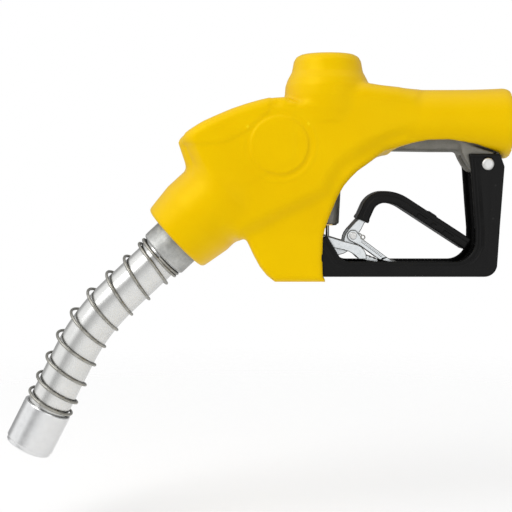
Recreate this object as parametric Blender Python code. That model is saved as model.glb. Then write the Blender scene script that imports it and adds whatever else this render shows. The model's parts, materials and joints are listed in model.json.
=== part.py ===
"""Automatic fuel nozzle for a heavy-duty diesel pump.

Origin: centre of the valve hump's flat top, on the main valve's axis. +X runs to the hose, -X to the
spout, +Z is up, and the object is symmetric about the XZ plane. Dimensions are millimetres from the
centre of the hose inlet's face until part() scales them to metres and moves them to the origin.
"""

import math

import bmesh
import bpy
from mathutils import Matrix, Vector

MM = 0.001
GAP = 0.3

# handle and inlet
HANDLE_R = 23.6
INLET_BORE_R = 15.5
PASSAGE_R = 13.0
# scuff guard
SKIN = 2.5
CASTING_INSET = 3.0
UPPER_HALF_WIDTH = 28.0
LOWER_HALF_WIDTH = 21.0
UPPER_RIM = 6.0
LOWER_RIM = 3.2
HUMP_X = -133.0
HUMP_TOP = 46.7
# main valve
SEAT_Z = -16.0
CHAMBER_R = 19.0
STEM_R = 2.8
STEM_BOTTOM = -84.0
STEM_BOSS_R = 9.8
STEM_BOSS_BOTTOM = -74.6
CASTING_BOTTOM = -73.0
# spout, along its axis from the scuff guard's nose
NOSE = Vector((-238.0, 0.0, -82.9))
NOSE_TILT = math.radians(47.0)
NOSE_R = 28.5
NOSE_RISE = 2.0
NOSE_END = 1.3
COLLAR_R = 18.9
COLLAR_OUT = 18.5
TUBE_R = 15.1
TUBE_WALL = 1.6
TUBE_IN = -13.5
BEND_START = 62.0
BEND_END = 116.0
BEND_ANGLE = math.radians(19.9)
FERRULE_START = 157.1
FERRULE_LENGTH = 33.0
FERRULE_R = 17.65
# trip plunger, along its axis from the lever's pivot
PIVOT = Vector((-160.0, 0.0, -93.6))
TRIP_TILT = math.radians(22.0)
COVER_TOP = -102.4
HOOD_FACE = -91.2
BALLS_ALONG = -60.0
# lever
CHEEK_OUT = 11.7
PLATE = 1.5
STRAP_HALF = 2.9
GRIP_HALF = 4.3
GRIP_HALF_WIDTH = 14.0
CLIP_RIVET = Vector((-115.6, 0.0, -81.4))
LEVER_GUARD_HALF_WIDTH = 18.0
LEVER_GUARD_WALL = 2.0
LEVER_GUARD_FLOOR = -110.3
POCKET_FRONT = -150.0
GUARD_STEP_X = -136.5
CLIP_INNER = 12.0
CLIP_OUTER = 13.0
RACK_INNER = 13.9
RACK_OUTER = 15.3
LUG_HALF_WIDTH = 15.6
GUARD_RIVET = Vector((-21.9, 0.0, -30.9))
RACK_RIVET = Vector((-144.0, 0.0, -92.0))
FRONT_PIN = Vector((-175.0, 0.0, -100.0))
ORIGIN = Vector((HUMP_X, 0.0, HUMP_TOP))

AXIS_X = Vector((1.0, 0.0, 0.0))
AXIS_Y = Vector((0.0, 1.0, 0.0))
AXIS_Z = Vector((0.0, 0.0, 1.0))
NOSE_DIR = Vector((-math.sin(NOSE_TILT), 0.0, -math.cos(NOSE_TILT)))
NOSE_UP = Vector((-math.cos(NOSE_TILT), 0.0, math.sin(NOSE_TILT)))
TRIP_DIR = Vector((math.sin(TRIP_TILT), 0.0, -math.cos(TRIP_TILT)))


def clear_scene():
    for old in list(bpy.data.objects):
        bpy.data.objects.remove(old)


def add_object(mesh_builder):
    """A new mesh object from a bmesh, with its faces pointing out."""
    bmesh.ops.recalc_face_normals(mesh_builder, faces=mesh_builder.faces)
    mesh = bpy.data.meshes.new("shape")
    mesh_builder.to_mesh(mesh)
    mesh_builder.free()
    made = bpy.data.objects.new("shape", mesh)
    bpy.context.scene.collection.objects.link(made)
    return made


def evaluated_mesh(shape):
    bpy.context.view_layer.update()
    graph = bpy.context.evaluated_depsgraph_get()
    return bpy.data.meshes.new_from_object(shape.evaluated_get(graph))


def is_closed(mesh):
    builder = bmesh.new()
    builder.from_mesh(mesh)
    closed = all(edge.is_manifold for edge in builder.edges)
    builder.free()
    return closed


def combine(base, others, operation):
    """Boolean with each of the others in turn: EXACT, or MANIFOLD where EXACT leaves a gap."""
    for other in others:
        modifier = base.modifiers.new("combine", "BOOLEAN")
        modifier.operation = operation
        modifier.object = other
    result = evaluated_mesh(base)
    if not is_closed(result):
        for modifier in base.modifiers:
            modifier.solver = "MANIFOLD"
        result = evaluated_mesh(base)
    base.modifiers.clear()
    base.data = result
    for other in others:
        bpy.data.objects.remove(other)
    return base


def union(base, *others):
    return combine(base, others, "UNION")


def cut(base, *others):
    return combine(base, others, "DIFFERENCE")


def turned(profile, start=Vector(), direction=AXIS_Z, steps=20):
    """A solid of revolution. The profile is a closed loop of (distance along the axis, radius)."""
    builder = bmesh.new()
    verts = [builder.verts.new((radius, 0.0, along)) for along, radius in profile]
    for first, second in zip(verts, verts[1:] + verts[:1]):
        if first.co.x or second.co.x:
            builder.edges.new((first, second))
    bmesh.ops.spin(
        builder, geom=builder.verts[:] + builder.edges[:], cent=(0, 0, 0), axis=(0, 0, 1),
        angle=2 * math.pi, steps=steps, use_merge=True,
    )
    bmesh.ops.remove_doubles(builder, verts=builder.verts, dist=0.001)
    turn = direction.to_track_quat("Z", "Y").to_matrix().to_4x4()
    bmesh.ops.transform(builder, matrix=Matrix.Translation(start) @ turn, verts=builder.verts)
    return add_object(builder)


def rod(start, direction, begin, end, radius, steps=20):
    """A cylinder about an axis, from one distance along it to another."""
    profile = [(begin, 0.0), (begin, radius), (end, radius), (end, 0.0)]
    return turned(profile, start, direction, steps)


def ring(start, direction, begin, end, inner, outer, steps=20):
    profile = [(begin, inner), (begin, outer), (end, outer), (end, inner)]
    return turned(profile, start, direction, steps)


def slab(outline, half_width, rim=0.0):
    """An (x, z) outline extruded evenly about a Y plane, its two rims bevelled."""
    builder = bmesh.new()
    verts = [builder.verts.new((x, -half_width, z)) for x, z in outline]
    face = builder.faces.new(verts)
    grown = bmesh.ops.extrude_face_region(builder, geom=[face])
    far = [item for item in grown["geom"] if isinstance(item, bmesh.types.BMVert)]
    bmesh.ops.translate(builder, verts=far, vec=(0.0, 2 * half_width, 0.0))
    if rim:
        edges = [e for e in builder.edges if e.verts[0].co.y == e.verts[1].co.y]
        bmesh.ops.bevel(
            builder, geom=edges, offset=rim, segments=1, profile=0.5, affect="EDGES",
            clamp_overlap=True,
        )
    return add_object(builder)


def box(x_low, x_high, half_width, z_low, z_high):
    return slab([(x_low, z_low), (x_high, z_low), (x_high, z_high), (x_low, z_high)], half_width)


def inset_outline(outline, distance):
    """The outline with every side moved inwards by the distance."""
    pairs = zip(outline, outline[1:] + outline[:1])
    area = sum(a[0] * b[1] - b[0] * a[1] for a, b in pairs)
    side = 1.0 if area > 0 else -1.0
    points = [Vector(point) for point in outline]
    moved = []
    for index, point in enumerate(points):
        before = (point - points[index - 1]).normalized()
        after = (points[(index + 1) % len(points)] - point).normalized()
        inward = Vector((-before.y, before.x)) + Vector((-after.y, after.x))
        shift = inward * side * distance / (1.0 + before.dot(after))
        moved.append(tuple(point + shift))
    return moved


def band(path, low, high):
    """The outline of a strip along a 2-D path, from one offset on its left side to another."""
    sides = ([], [])
    for index, point in enumerate(path):
        ahead = path[min(index + 1, len(path) - 1)]
        behind = path[max(index - 1, 0)]
        along = (ahead - behind).normalized()
        left = Vector((-along.y, along.x))
        sides[0].append(tuple(point + left * low))
        sides[1].append(tuple(point + left * high))
    return sides[0] + sides[1][::-1]


def extended(path, before, after):
    """The path with its first and last points moved straight on."""
    first = path[0] + (path[0] - path[1]).normalized() * before
    last = path[-1] + (path[-1] - path[-2]).normalized() * after
    return [first] + path[1:-1] + [last]


def arc(centre, radius, begin, end, steps):
    """Points of an arc, in degrees from +X towards +Z."""
    turns = [math.radians(begin + (end - begin) * step / steps) for step in range(steps + 1)]
    return [(centre[0] + radius * math.cos(t), centre[1] + radius * math.sin(t)) for t in turns]


def swept(points, radius, resolution=1):
    """A round bar along 3-D points, with closed ends."""
    curve = bpy.data.curves.new("path", "CURVE")
    curve.dimensions = "3D"
    curve.bevel_depth = radius
    curve.bevel_resolution = resolution
    curve.use_fill_caps = True
    spline = curve.splines.new("POLY")
    spline.points.add(len(points) - 1)
    for item, point in zip(spline.points, points):
        item.co = (*point, 1.0)
    made = bpy.data.objects.new("path", curve)
    bpy.context.scene.collection.objects.link(made)
    builder = bmesh.new()
    builder.from_mesh(evaluated_mesh(made))
    bpy.data.objects.remove(made)
    bmesh.ops.remove_doubles(builder, verts=builder.verts, dist=0.0005)
    return add_object(builder)


def coil(start, direction, begin, end, radius, wire, turns, per_turn=9):
    """A helical spring about an axis."""
    side = direction.orthogonal().normalized()
    other = direction.cross(side)
    count = int(turns * per_turn)
    points = []
    for step in range(count + 1):
        turn = 2 * math.pi * turns * step / count
        along = begin + (end - begin) * step / count
        out = side * math.cos(turn) + other * math.sin(turn)
        points.append(start + direction * along + out * radius)
    return swept(points, wire, 0)


def spout_frame(along):
    """The spout centreline's point and direction at a distance from the scuff guard's nose."""
    radius = (BEND_END - BEND_START) / BEND_ANGLE
    turned_by = BEND_ANGLE * min(max((along - BEND_START) / (BEND_END - BEND_START), 0.0), 1.0)
    tilt = NOSE_TILT - turned_by
    direction = Vector((-math.sin(tilt), 0.0, -math.cos(tilt)))
    straight = NOSE + NOSE_DIR * min(along, BEND_START)
    inner = straight + NOSE_UP * -radius
    on_arc = inner + Vector((-math.cos(tilt), 0.0, math.sin(tilt))) * radius
    return on_arc + direction * max(along - BEND_END, 0.0), direction


def along_spout(begin, end, steps, rise=0.0):
    points = []
    for step in range(steps + 1):
        point, direction = spout_frame(begin + (end - begin) * step / steps)
        points.append(point + Vector((direction.z, 0.0, -direction.x)) * rise)
    return points


def material(name, colour, metallic, roughness):
    made = bpy.data.materials.new(name)
    made.use_nodes = True
    shader = made.node_tree.nodes["Principled BSDF"]
    shader.inputs["Base Color"].default_value = (*colour, 1.0)
    shader.inputs["Metallic"].default_value = metallic
    shader.inputs["Roughness"].default_value = roughness
    return made


def body(name, origin):
    """The empty that carries a moving body, on its joint's axis."""
    made = bpy.data.objects.new(name, None)
    made.location = (origin - ORIGIN) * MM
    made.empty_display_size = 0.01
    bpy.context.scene.collection.objects.link(made)
    return made


def part(name, shape, finish, carrier=None):
    """Names a finished shape, scales it to metres and puts it on the body that carries it."""
    origin = ORIGIN + carrier.location / MM if carrier else ORIGIN
    shape.name = name
    shape.data.name = name
    shape.data.transform(Matrix.Scale(MM, 4) @ Matrix.Translation(-origin))
    shape.data.materials.clear()
    shape.data.materials.append(finish)
    shape.data.shade_smooth()
    shape.data.set_sharp_from_angle(angle=math.radians(35.0))
    shape.parent = carrier
    return shape


clear_scene()
YELLOW = material("yellow_vinyl", (0.80, 0.52, 0.0), 0.0, 0.45)
BLACK = material("black_vinyl", (0.012, 0.012, 0.012), 0.0, 0.5)
CAST = material("cast_aluminium", (0.35, 0.34, 0.31), 0.8, 0.6)
SATIN = material("satin_aluminium", (0.72, 0.73, 0.74), 1.0, 0.3)
ZINC = material("zinc_plated_steel", (0.62, 0.64, 0.65), 1.0, 0.35)
SPRING_STEEL = material("spring_steel", (0.45, 0.45, 0.46), 1.0, 0.35)
BRASS = material("brass", (0.72, 0.52, 0.22), 1.0, 0.3)
RUBBER = material("rubber", (0.02, 0.02, 0.02), 0.0, 0.7)

PLUNGER_BODY = body("plunger_body", PIVOT)
LEVER_BODY = body("lever_body", PIVOT)
POPPET_BODY = body("poppet_body", Vector((HUMP_X, 0.0, SEAT_Z)))
CLIP_BODY = body("clip_body", CLIP_RIVET)
CHECK_BODY = body("check_valve_body", NOSE)
LATCH_BODY = body("latch_body", PIVOT + TRIP_DIR * HOOD_FACE)

UPPER_OUTLINE = [
    (-235.0, -33.0), (-239.0, -15.4), (-230.6, -6.4), (-210.8, 3.1), (-171.8, 15.1),
    (-150.0, 19.0), (-100.0, 19.0), (-85.2, 5.0), (-85.2, -19.5), (-93.7, -22.6), (-103.5, -27.4),
    (-113.3, -34.4), (-120.5, -43.0), (-127.6, -54.6), (-160.0, -62.0), (-192.0, -80.0), (-216.0, -70.0),
]
LOWER_OUTLINE = [
    (-150.0, -20.0), (-110.5, -32.0), (-118.2, -40.0), (-122.9, -46.2), (-127.6, -54.6),
    (-132.4, -65.1), (-135.9, -74.3), (-139.3, -96.8), (-137.1, -112.4), (-171.3, -112.4),
    (-176.6, -108.9), (-181.5, -103.2), (-187.9, -91.0), (-193.0, -81.0), (-186.0, -50.0),
]


def covered_shape(inset, inlet_end=0.0):
    """The nozzle body's outside at a depth under the scuff guard's surface."""
    handle = rod(Vector(), AXIS_X, -120.0, inlet_end, HANDLE_R - inset, 32)
    hump = turned(
        [(0.0, 0.0), (0.0, 20.0 - inset), (14.0, 26.8 - inset), (23.0, 30.4 - inset), (32.0, 26.6 - inset),
         (42.0, 24.3 - inset), (HUMP_TOP - inset, 20.5 - inset), (HUMP_TOP - inset, 0.0)],
        Vector((HUMP_X, 0.0, 0.0)), AXIS_Z, 32,
    )
    upper = slab(inset_outline(UPPER_OUTLINE, inset), UPPER_HALF_WIDTH - inset, UPPER_RIM - inset)
    lower = slab(inset_outline(LOWER_OUTLINE, inset), LOWER_HALF_WIDTH - inset, LOWER_RIM - inset)
    nose = turned(
        [(-70.0, 0.0), (-70.0, 15.0 - inset), (-54.0, NOSE_R - 2.3 - inset), (-30.0, NOSE_R + 2.0 - inset),
         (NOSE_END - 4.0, NOSE_R - inset), (NOSE_END - inset, NOSE_R - 4.0 - inset), (NOSE_END - inset, 0.0)],
        NOSE + NOSE_UP * NOSE_RISE, NOSE_DIR, 32,
    )
    return union(upper, handle, hump, lower, nose)


def scuff_guard():
    shape = covered_shape(0.0)
    hollow = covered_shape(SKIN, 5.0)
    handle_gap = [
        (-83.8, -40.0), (-83.8, -19.1), (-73.5, -14.9), (-63.9, -12.8), (-49.4, -12.8), (-39.6, -14.2),
        (-29.6, -16.2), (-19.3, -19.6), (-13.7, -21.4), (-9.0, -24.0), (-9.0, -40.0),
    ]
    rear_gap = [
        (-172.0, LEVER_GUARD_FLOOR - GAP), (-100.0, LEVER_GUARD_FLOOR - GAP), (-100.0, -49.0),
        (POCKET_FRONT, -49.0), (POCKET_FRONT, -100.0), (-172.0, -100.0),
    ]
    lug_gap = box(-41.0, -13.5, LUG_HALF_WIDTH + GAP, -40.0, -10.0)
    collar_hole = rod(NOSE, NOSE_DIR, -10.0, 10.0, COLLAR_R + GAP)
    lever_gap = slab(rear_gap, LEVER_GUARD_HALF_WIDTH + GAP)
    return cut(shape, hollow, slab(handle_gap, 40.0), lug_gap, lever_gap, collar_hole)


def hood_space():
    """What the diaphragm cover and its screws take up above the casting's tilted hood face."""
    across = Vector((math.cos(TRIP_TILT), 0.0, math.sin(TRIP_TILT)))
    centre = PIVOT + TRIP_DIR * HOOD_FACE
    corners = [(-60.0, 0.0), (32.0, 0.0), (32.0, -45.0), (-60.0, -45.0)]
    points = [centre + across * a + TRIP_DIR * b for a, b in corners]
    return slab([(point.x, point.z) for point in points], 45.0)


def flow_cavities():
    """The fuel's way: inlet, valve chamber, seat, lower chamber and nose, joined into one hollow."""
    valve = Vector((HUMP_X, 0.0, 0.0))
    shape = rod(valve, AXIS_Z, SEAT_Z, 45.0, CHAMBER_R)
    inlet = rod(Vector(), AXIS_X, -31.0, 5.0, INLET_BORE_R)
    passage = rod(Vector(), AXIS_X, HUMP_X, -30.0, PASSAGE_R)
    seal_seat = rod(valve, AXIS_Z, 34.0, 44.0, 21.4)
    below_seat = rod(valve, AXIS_Z, -47.0, SEAT_Z + 1.0, 12.0)
    across = rod(Vector((0.0, 0.0, -33.5)), AXIS_X, -186.0, HUMP_X, 11.5)
    nose = rod(NOSE, NOSE_DIR, -76.0, 5.0, 17.0)
    return union(shape, inlet, passage, seal_seat, below_seat, across, nose)


def body_casting():
    shape = covered_shape(CASTING_INSET)
    below = [(-194.0, CASTING_BOTTOM), (-100.0, CASTING_BOTTOM), (-100.0, -130.0), (-194.0, -130.0)]
    cut(shape, slab(below, 45.0), box(-190.0, -90.0, 45.0, 36.0, 80.0), hood_space())
    leg = [
        (-186.0, -68.0), (-172.5, -68.0), (-171.0, -104.0), (-174.0, -106.0), (-179.5, -99.0),
        (-184.0, -90.0),
    ]
    lug = [
        (-40.0, -10.0), (-39.4, -23.0), (-35.4, -31.0), (-30.0, -36.4), (-16.5, -36.4), (-14.5, -24.0),
        (-14.5, -10.0),
    ]
    valve = Vector((HUMP_X, 0.0, 0.0))
    stem_boss = rod(valve, AXIS_Z, STEM_BOSS_BOTTOM, -51.0, STEM_BOSS_R)
    union(shape, slab(leg, LUG_HALF_WIDTH), slab(lug, LUG_HALF_WIDTH), stem_boss)
    trip_boss = rod(PIVOT, TRIP_DIR, -96.0, -25.0, 10.5)
    cut(shape, cut(flow_cavities(), trip_boss))
    plunger_bore = turned(
        [(-95.0, 0.0), (-95.0, 15.0), (-84.0, 15.0), (-84.0, 2.9), (-76.0, 2.9), (-76.0, 5.9),
         (-63.5, 5.9), (-63.5, 7.2), (-52.0, 7.2), (-52.0, 5.9), (-46.0, 5.9), (-46.0, 8.6),
         (-15.0, 8.6), (-15.0, 0.0)],
        PIVOT, TRIP_DIR,
    )
    stem_bore = turned(
        [(-80.0, 0.0), (-80.0, 6.6), (-52.0, 6.6), (-52.0, 3.3), (-40.0, 3.3), (-40.0, 0.0)],
        valve, AXIS_Z, 24,
    )
    slot = box(-50.0, -24.0, 5.0, -60.0, -21.0)
    rivet_hole = rod(GUARD_RIVET, AXIS_Y, -30.0, 30.0, 2.8, 16)
    pin_hole = rod(FRONT_PIN, AXIS_Y, -30.0, 30.0, 2.5, 16)
    screw_holes = [rod(*spot, -94.0, -80.0, 2.1, 12) for spot in cover_screw_axes()]
    return cut(shape, plunger_bore, stem_bore, slot, rivet_hole, pin_hole, *screw_holes)


def cover_screw_axes():
    across = Vector((math.cos(TRIP_TILT), 0.0, math.sin(TRIP_TILT)))
    return [(PIVOT + across * a + AXIS_Y * b, TRIP_DIR) for a in (-24.0, 24.0) for b in (-12.5, 12.5)]


def diaphragm_cover():
    shape = turned(
        [(-93.0, 12.0), (-93.0, 29.5), (-97.0, 29.5), (-97.0, 15.0), (-100.4, 15.0),
         (COVER_TOP, 12.5), (COVER_TOP, 0.0), (-100.9, 0.0), (-100.9, 12.0)],
        PIVOT, TRIP_DIR,
    )
    shape.data.transform(Matrix.Scale(0.83, 4, AXIS_Y))
    return cut(shape, *[rod(*spot, -99.0, -90.0, 2.1, 12) for spot in cover_screw_axes()])


def screw(start, direction, head_from, head_to, end, head_r, shank_r):
    return turned(
        [(head_from, 0.0), (head_from, head_r), (head_to, head_r), (head_to, shank_r), (end, shank_r),
         (end, 0.0)],
        start, direction, 16,
    )


def spout_tube():
    outer = swept(along_spout(TUBE_IN, 187.0, 20), TUBE_R, 10)
    inner = swept(along_spout(TUBE_IN - 4.0, 191.0, 20), TUBE_R - TUBE_WALL, 10)
    return cut(outer, inner)


def spout_spring():
    """A coil around the spout, with closed end turns at the collar and on the ferrule."""
    begin, end, closed, turns, per_turn = 20.0, 154.5, 2.6, 9.9, 12
    points = []
    count = int(turns * per_turn)
    for step in range(count + 1):
        turn = turns * step / count
        open_turns = min(max(turn - 1.0, 0.0), turns - 2.0)
        pitch = (end - begin - 2 * closed) / (turns - 2.0)
        along = begin + closed * min(turn, 1.0) + open_turns * pitch
        along += closed * max(turn - turns + 1.0, 0.0)
        point, direction = spout_frame(along)
        side = Vector((direction.z, 0.0, -direction.x))
        angle = 2 * math.pi * turn
        points.append(point + (side * math.cos(angle) - AXIS_Y * math.sin(angle)) * 17.1)
    return swept(points, 1.0, 0)


def vent_tube():
    outer = swept(along_spout(-11.0, 185.0, 12, 9.6), 3.0, 2)
    return cut(outer, swept(along_spout(-14.0, 189.0, 12, 9.6), 2.0, 2))


LEVER_PATH = [
    Vector(point) for point in [
        (-109.0, -70.6), *arc((-93.6, -66.4), 12.4, 156.0, 90.0, 5),
        *arc((-93.6, -80.0), 26.0, 90.0, 57.1, 4)[1:], (-36.5, -86.0),
    ]
]

def lever():
    cheek = [
        (-111.4, -69.6), (-113.6, -71.0), (-118.8, -77.0), (-121.4, -80.8), (-122.1, -84.8), (-129.0, -86.2),
        (-150.0, -88.2), *arc((PIVOT.x, PIVOT.z), 6.0, 80.0, 290.0, 10),
        (-140.0, -97.5), (-127.2, -95.6), (-119.2, -93.0),
        *arc((CLIP_RIVET.x, CLIP_RIVET.z), 4.8, -50.0, 20.0, 4),
        (-109.8, -77.0), (-107.6, -72.6), (-106.6, -71.4), (-104.4, -66.4), (-107.6, -65.0),
    ]
    shape = slab(cheek, CHEEK_OUT)
    hollow = box(-170.0, -90.0, CHEEK_OUT - PLATE, -110.0, -60.0)
    cut(shape, hollow)
    bridge = box(-136.5, -130.0, CHEEK_OUT - 0.5, -88.6, STEM_BOTTOM - 0.4)
    channel = slab(band(LEVER_PATH, -STRAP_HALF, STRAP_HALF), CHEEK_OUT - 0.1)
    union(shape, channel, bridge)
    groove = slab(band(extended(LEVER_PATH, 8.0, 3.0), -4.2, STRAP_HALF - PLATE), CHEEK_OUT - PLATE)
    pin_hole = rod(PIVOT, AXIS_Y, -20.0, 20.0, 2.8, 16)
    rivet_hole = rod(CLIP_RIVET, AXIS_Y, -20.0, 20.0, 2.3, 16)
    return cut(shape, groove, pin_hole, rivet_hole)


def lever_grip():
    shape = slab(band(extended(LEVER_PATH, 0.0, 3.0), -GRIP_HALF, GRIP_HALF), GRIP_HALF_WIDTH, 1.0)
    inside = STRAP_HALF + GAP
    return cut(shape, slab(band(extended(LEVER_PATH, 8.0, 0.5), -inside, inside), CHEEK_OUT + GAP))


def lever_guard():
    outer = [
        (-170.0, -109.9), (GUARD_STEP_X, -109.9), (GUARD_STEP_X, LEVER_GUARD_FLOOR),
        (-23.5, LEVER_GUARD_FLOOR), *arc((-23.5, -101.3), 9.0, -72.0, -6.0, 4), (-13.2, -76.0),
        (-10.4, -32.6), (-13.6, -23.6),
    ]
    inner = [
        (-35.2, -23.6), (-33.8, -34.0), (-31.5, -62.0), (-30.2, -76.0),
        *arc((-44.2, -85.3), 14.0, 0.0, -90.0, 5), (-119.4, -99.3), (-123.2, -98.0), (-125.4, -96.1),
        (-134.4, -81.0), (-150.0, -89.5), (-181.0, -91.0), (-176.5, -101.5),
    ]
    shape = slab(outer + inner, LEVER_GUARD_HALF_WIDTH)
    hollow = [
        (-190.0, -107.9), (-23.5, -107.9), *arc((-23.5, -101.3), 7.0, -72.0, -6.0, 4), (-15.2, -76.0),
        (-12.4, -32.6), (-12.4, 0.0), (-190.0, 0.0),
    ]
    cut(shape, slab(hollow, LEVER_GUARD_HALF_WIDTH - LEVER_GUARD_WALL))
    holes = [
        rod(GUARD_RIVET, AXIS_Y, -30.0, 30.0, 2.8, 16),
        rod(FRONT_PIN, AXIS_Y, -30.0, 30.0, 2.5, 16),
        rod(RACK_RIVET, AXIS_Y, -30.0, 30.0, 2.3, 16),
    ]
    return cut(shape, *holes)


def hold_open_rack():
    plate = [
        (-150.0, -87.5), (-133.8, -81.6), (-122.4, -85.1), (-110.2, -88.4), (-106.7, -92.8),
        (-106.2, -97.8), (-112.0, -97.8), (-118.4, -93.4), (-129.9, -90.0), (-136.0, -96.0), (-150.0, -97.0),
    ]
    shape = cut(slab(plate, RACK_OUTER), box(-160.0, -90.0, RACK_INNER, -97.0, -80.0))
    cut(shape, box(-160.0, -112.4, RACK_INNER, -110.0, -80.0))
    step, rise = 3.0, 1.1
    notches = []
    for index in range(3):
        left = -106.6 + step * index
        top = -95.3 - rise * index
        notches += [(left, top), (left + step * 0.75, top - rise * 0.2)]
    strip = [(-111.6, -97.8), (-111.6, -96.7), (-107.9, -96.3), *notches, (-97.6, -98.8), (-98.4, -100.3)]
    union(shape, slab(strip, 11.0))
    return cut(shape, rod(RACK_RIVET, AXIS_Y, -30.0, 30.0, 2.3, 16))


def hold_open_clip():
    arm = [
        *arc((CLIP_RIVET.x, CLIP_RIVET.z), 4.1, 60.0, 240.0, 8), (-110.4, -88.4), (-97.1, -98.2),
        (-84.6, -100.9), (-84.2, -99.6), (-90.3, -96.8), (-107.8, -84.5),
    ]
    shape = slab(arm, CLIP_OUTER)
    cut(shape, box(-130.0, -92.2, CLIP_INNER, -110.0, -60.0))
    return cut(shape, rod(CLIP_RIVET, AXIS_Y, -20.0, 20.0, 2.3, 16))


def clip_spring(side):
    """A small torsion spring on the clip's rivet, between a cheek and an arm."""
    return coil(CLIP_RIVET, AXIS_Y, side * 3.0, side * 9.3, 3.0, 0.45, 5.0, 10)


def cover_parts():
    part("scuff_guard", scuff_guard(), YELLOW)
    part("body_casting", body_casting(), CAST)
    strainer = turned(
        [(-3.0, 15.1), (-3.0, 14.2), (-27.0, 9.2), (-27.0, 0.0), (-28.0, 0.0), (-28.0, 10.0), (-5.0, 15.1)],
        Vector(), AXIS_X, 24,
    )
    part("inlet_strainer", strainer, BRASS)


def spout_parts():
    bushing = turned(
        [(COLLAR_OUT, 15.5), (COLLAR_OUT, COLLAR_R - 1.0), (COLLAR_OUT - 1.0, COLLAR_R), (-1.3, COLLAR_R),
         (-1.3, 16.7), (-24.0, 16.7), (-24.0, 12.0), (-14.0, 12.0), (-14.0, 15.5)],
        NOSE, NOSE_DIR,
    )
    part("spout_bushing", bushing, SATIN)
    part("spout_o_ring", ring(NOSE, NOSE_DIR, -27.0, -24.4, 12.5, 16.6), RUBBER)
    part("spout_tube", spout_tube(), SATIN)
    part("spout_spring", spout_spring(), SPRING_STEEL)
    part("vent_tube", vent_tube(), SATIN)
    tip, tip_dir = spout_frame(FERRULE_START)
    ferrule = turned(
        [(0.0, 15.5), (0.0, FERRULE_R - 0.6), (0.6, FERRULE_R), (29.6, FERRULE_R), (30.0, 16.8), (32.2, 16.8),
         (FERRULE_LENGTH, 16.2), (FERRULE_LENGTH, 13.4), (30.6, 13.4), (30.6, 15.5)],
        tip, tip_dir, 32,
    )
    part("spout_ferrule", ferrule, SATIN)


def main_valve_parts():
    """The valve between inlet and spout, which the lever lifts off its seat by the stem."""
    valve = Vector((HUMP_X, 0.0, 0.0))
    poppet_cap = turned(
        [(27.0, 13.0), (27.0, 18.6), (36.4, 18.6), (36.4, 21.2), (40.5, 21.2), (43.6, 17.0), (43.6, 0.0),
         (40.6, 0.0), (40.6, 13.0)],
        valve, AXIS_Z,
    )
    part("poppet_cap", poppet_cap, CAST)
    part("poppet_cap_seal", ring(valve, AXIS_Z, 34.3, 36.1, 18.9, 21.1), RUBBER)
    part("stem_packing", ring(valve, AXIS_Z, -65.0, -52.4, STEM_R + GAP, 6.2, 24), RUBBER)
    part("packing_nut", ring(valve, AXIS_Z, -74.3, -65.4, 3.7, 6.4, 6), BRASS)
    main_poppet = turned(
        [(SEAT_Z + 3.4, 3.1), (SEAT_Z + 3.4, 15.0), (SEAT_Z + 6.0, 15.0), (SEAT_Z + 7.0, 7.0), (-2.0, 7.0),
         (-2.0, 0.0), (-7.0, 0.0), (-7.0, 3.1)],
        valve, AXIS_Z,
    )
    part("main_poppet", main_poppet, BRASS, POPPET_BODY)
    part("poppet_seal", ring(valve, AXIS_Z, SEAT_Z + GAP, SEAT_Z + 3.1, 3.1, 15.0), RUBBER, POPPET_BODY)
    part("main_stem", rod(valve, AXIS_Z, STEM_BOTTOM, -7.3, STEM_R, 20), SATIN, POPPET_BODY)
    part("poppet_spring", coil(valve, AXIS_Z, -7.6, 39.2, 10.5, 1.0, 7.0), SPRING_STEEL)


def check_valve_parts():
    part("check_valve_seat", ring(NOSE, NOSE_DIR, -51.0, -46.5, 10.0, 16.7), BRASS)
    check_valve = turned(
        [(-46.2, 0.0), (-46.2, 13.0), (-43.5, 13.0), (-42.5, 3.0), (-37.0, 3.0), (-37.0, 0.0)],
        NOSE, NOSE_DIR,
    )
    part("check_valve", check_valve, BRASS, CHECK_BODY)
    part("check_valve_spring", coil(NOSE, NOSE_DIR, -42.3, -28.2, 8.0, 0.8, 4.0), SPRING_STEEL)


def shut_off_parts():
    """The diaphragm, its cover and the pin that frees the trip plunger."""
    part("diaphragm_cover", diaphragm_cover(), CAST)
    for number, spot in enumerate(cover_screw_axes(), 1):
        part(f"cover_screw_{number}", screw(*spot, -99.4, -97.3, -82.0, 3.4, 1.8), ZINC)
    part("diaphragm", ring(PIVOT, TRIP_DIR, -92.7, -91.5, 2.8, 20.0), RUBBER)
    latch_pin = turned(
        [(-94.6, 0.0), (-94.6, 9.5), (-93.0, 9.5), (-93.0, 2.4), (-55.0, 2.4), (-55.0, 0.0)],
        PIVOT, TRIP_DIR,
    )
    part("latch_pin", latch_pin, SATIN, LATCH_BODY)
    part("diaphragm_spring", coil(PIVOT, TRIP_DIR, -100.0, -95.6, 6.0, 0.5, 3.0), SPRING_STEEL)


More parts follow.
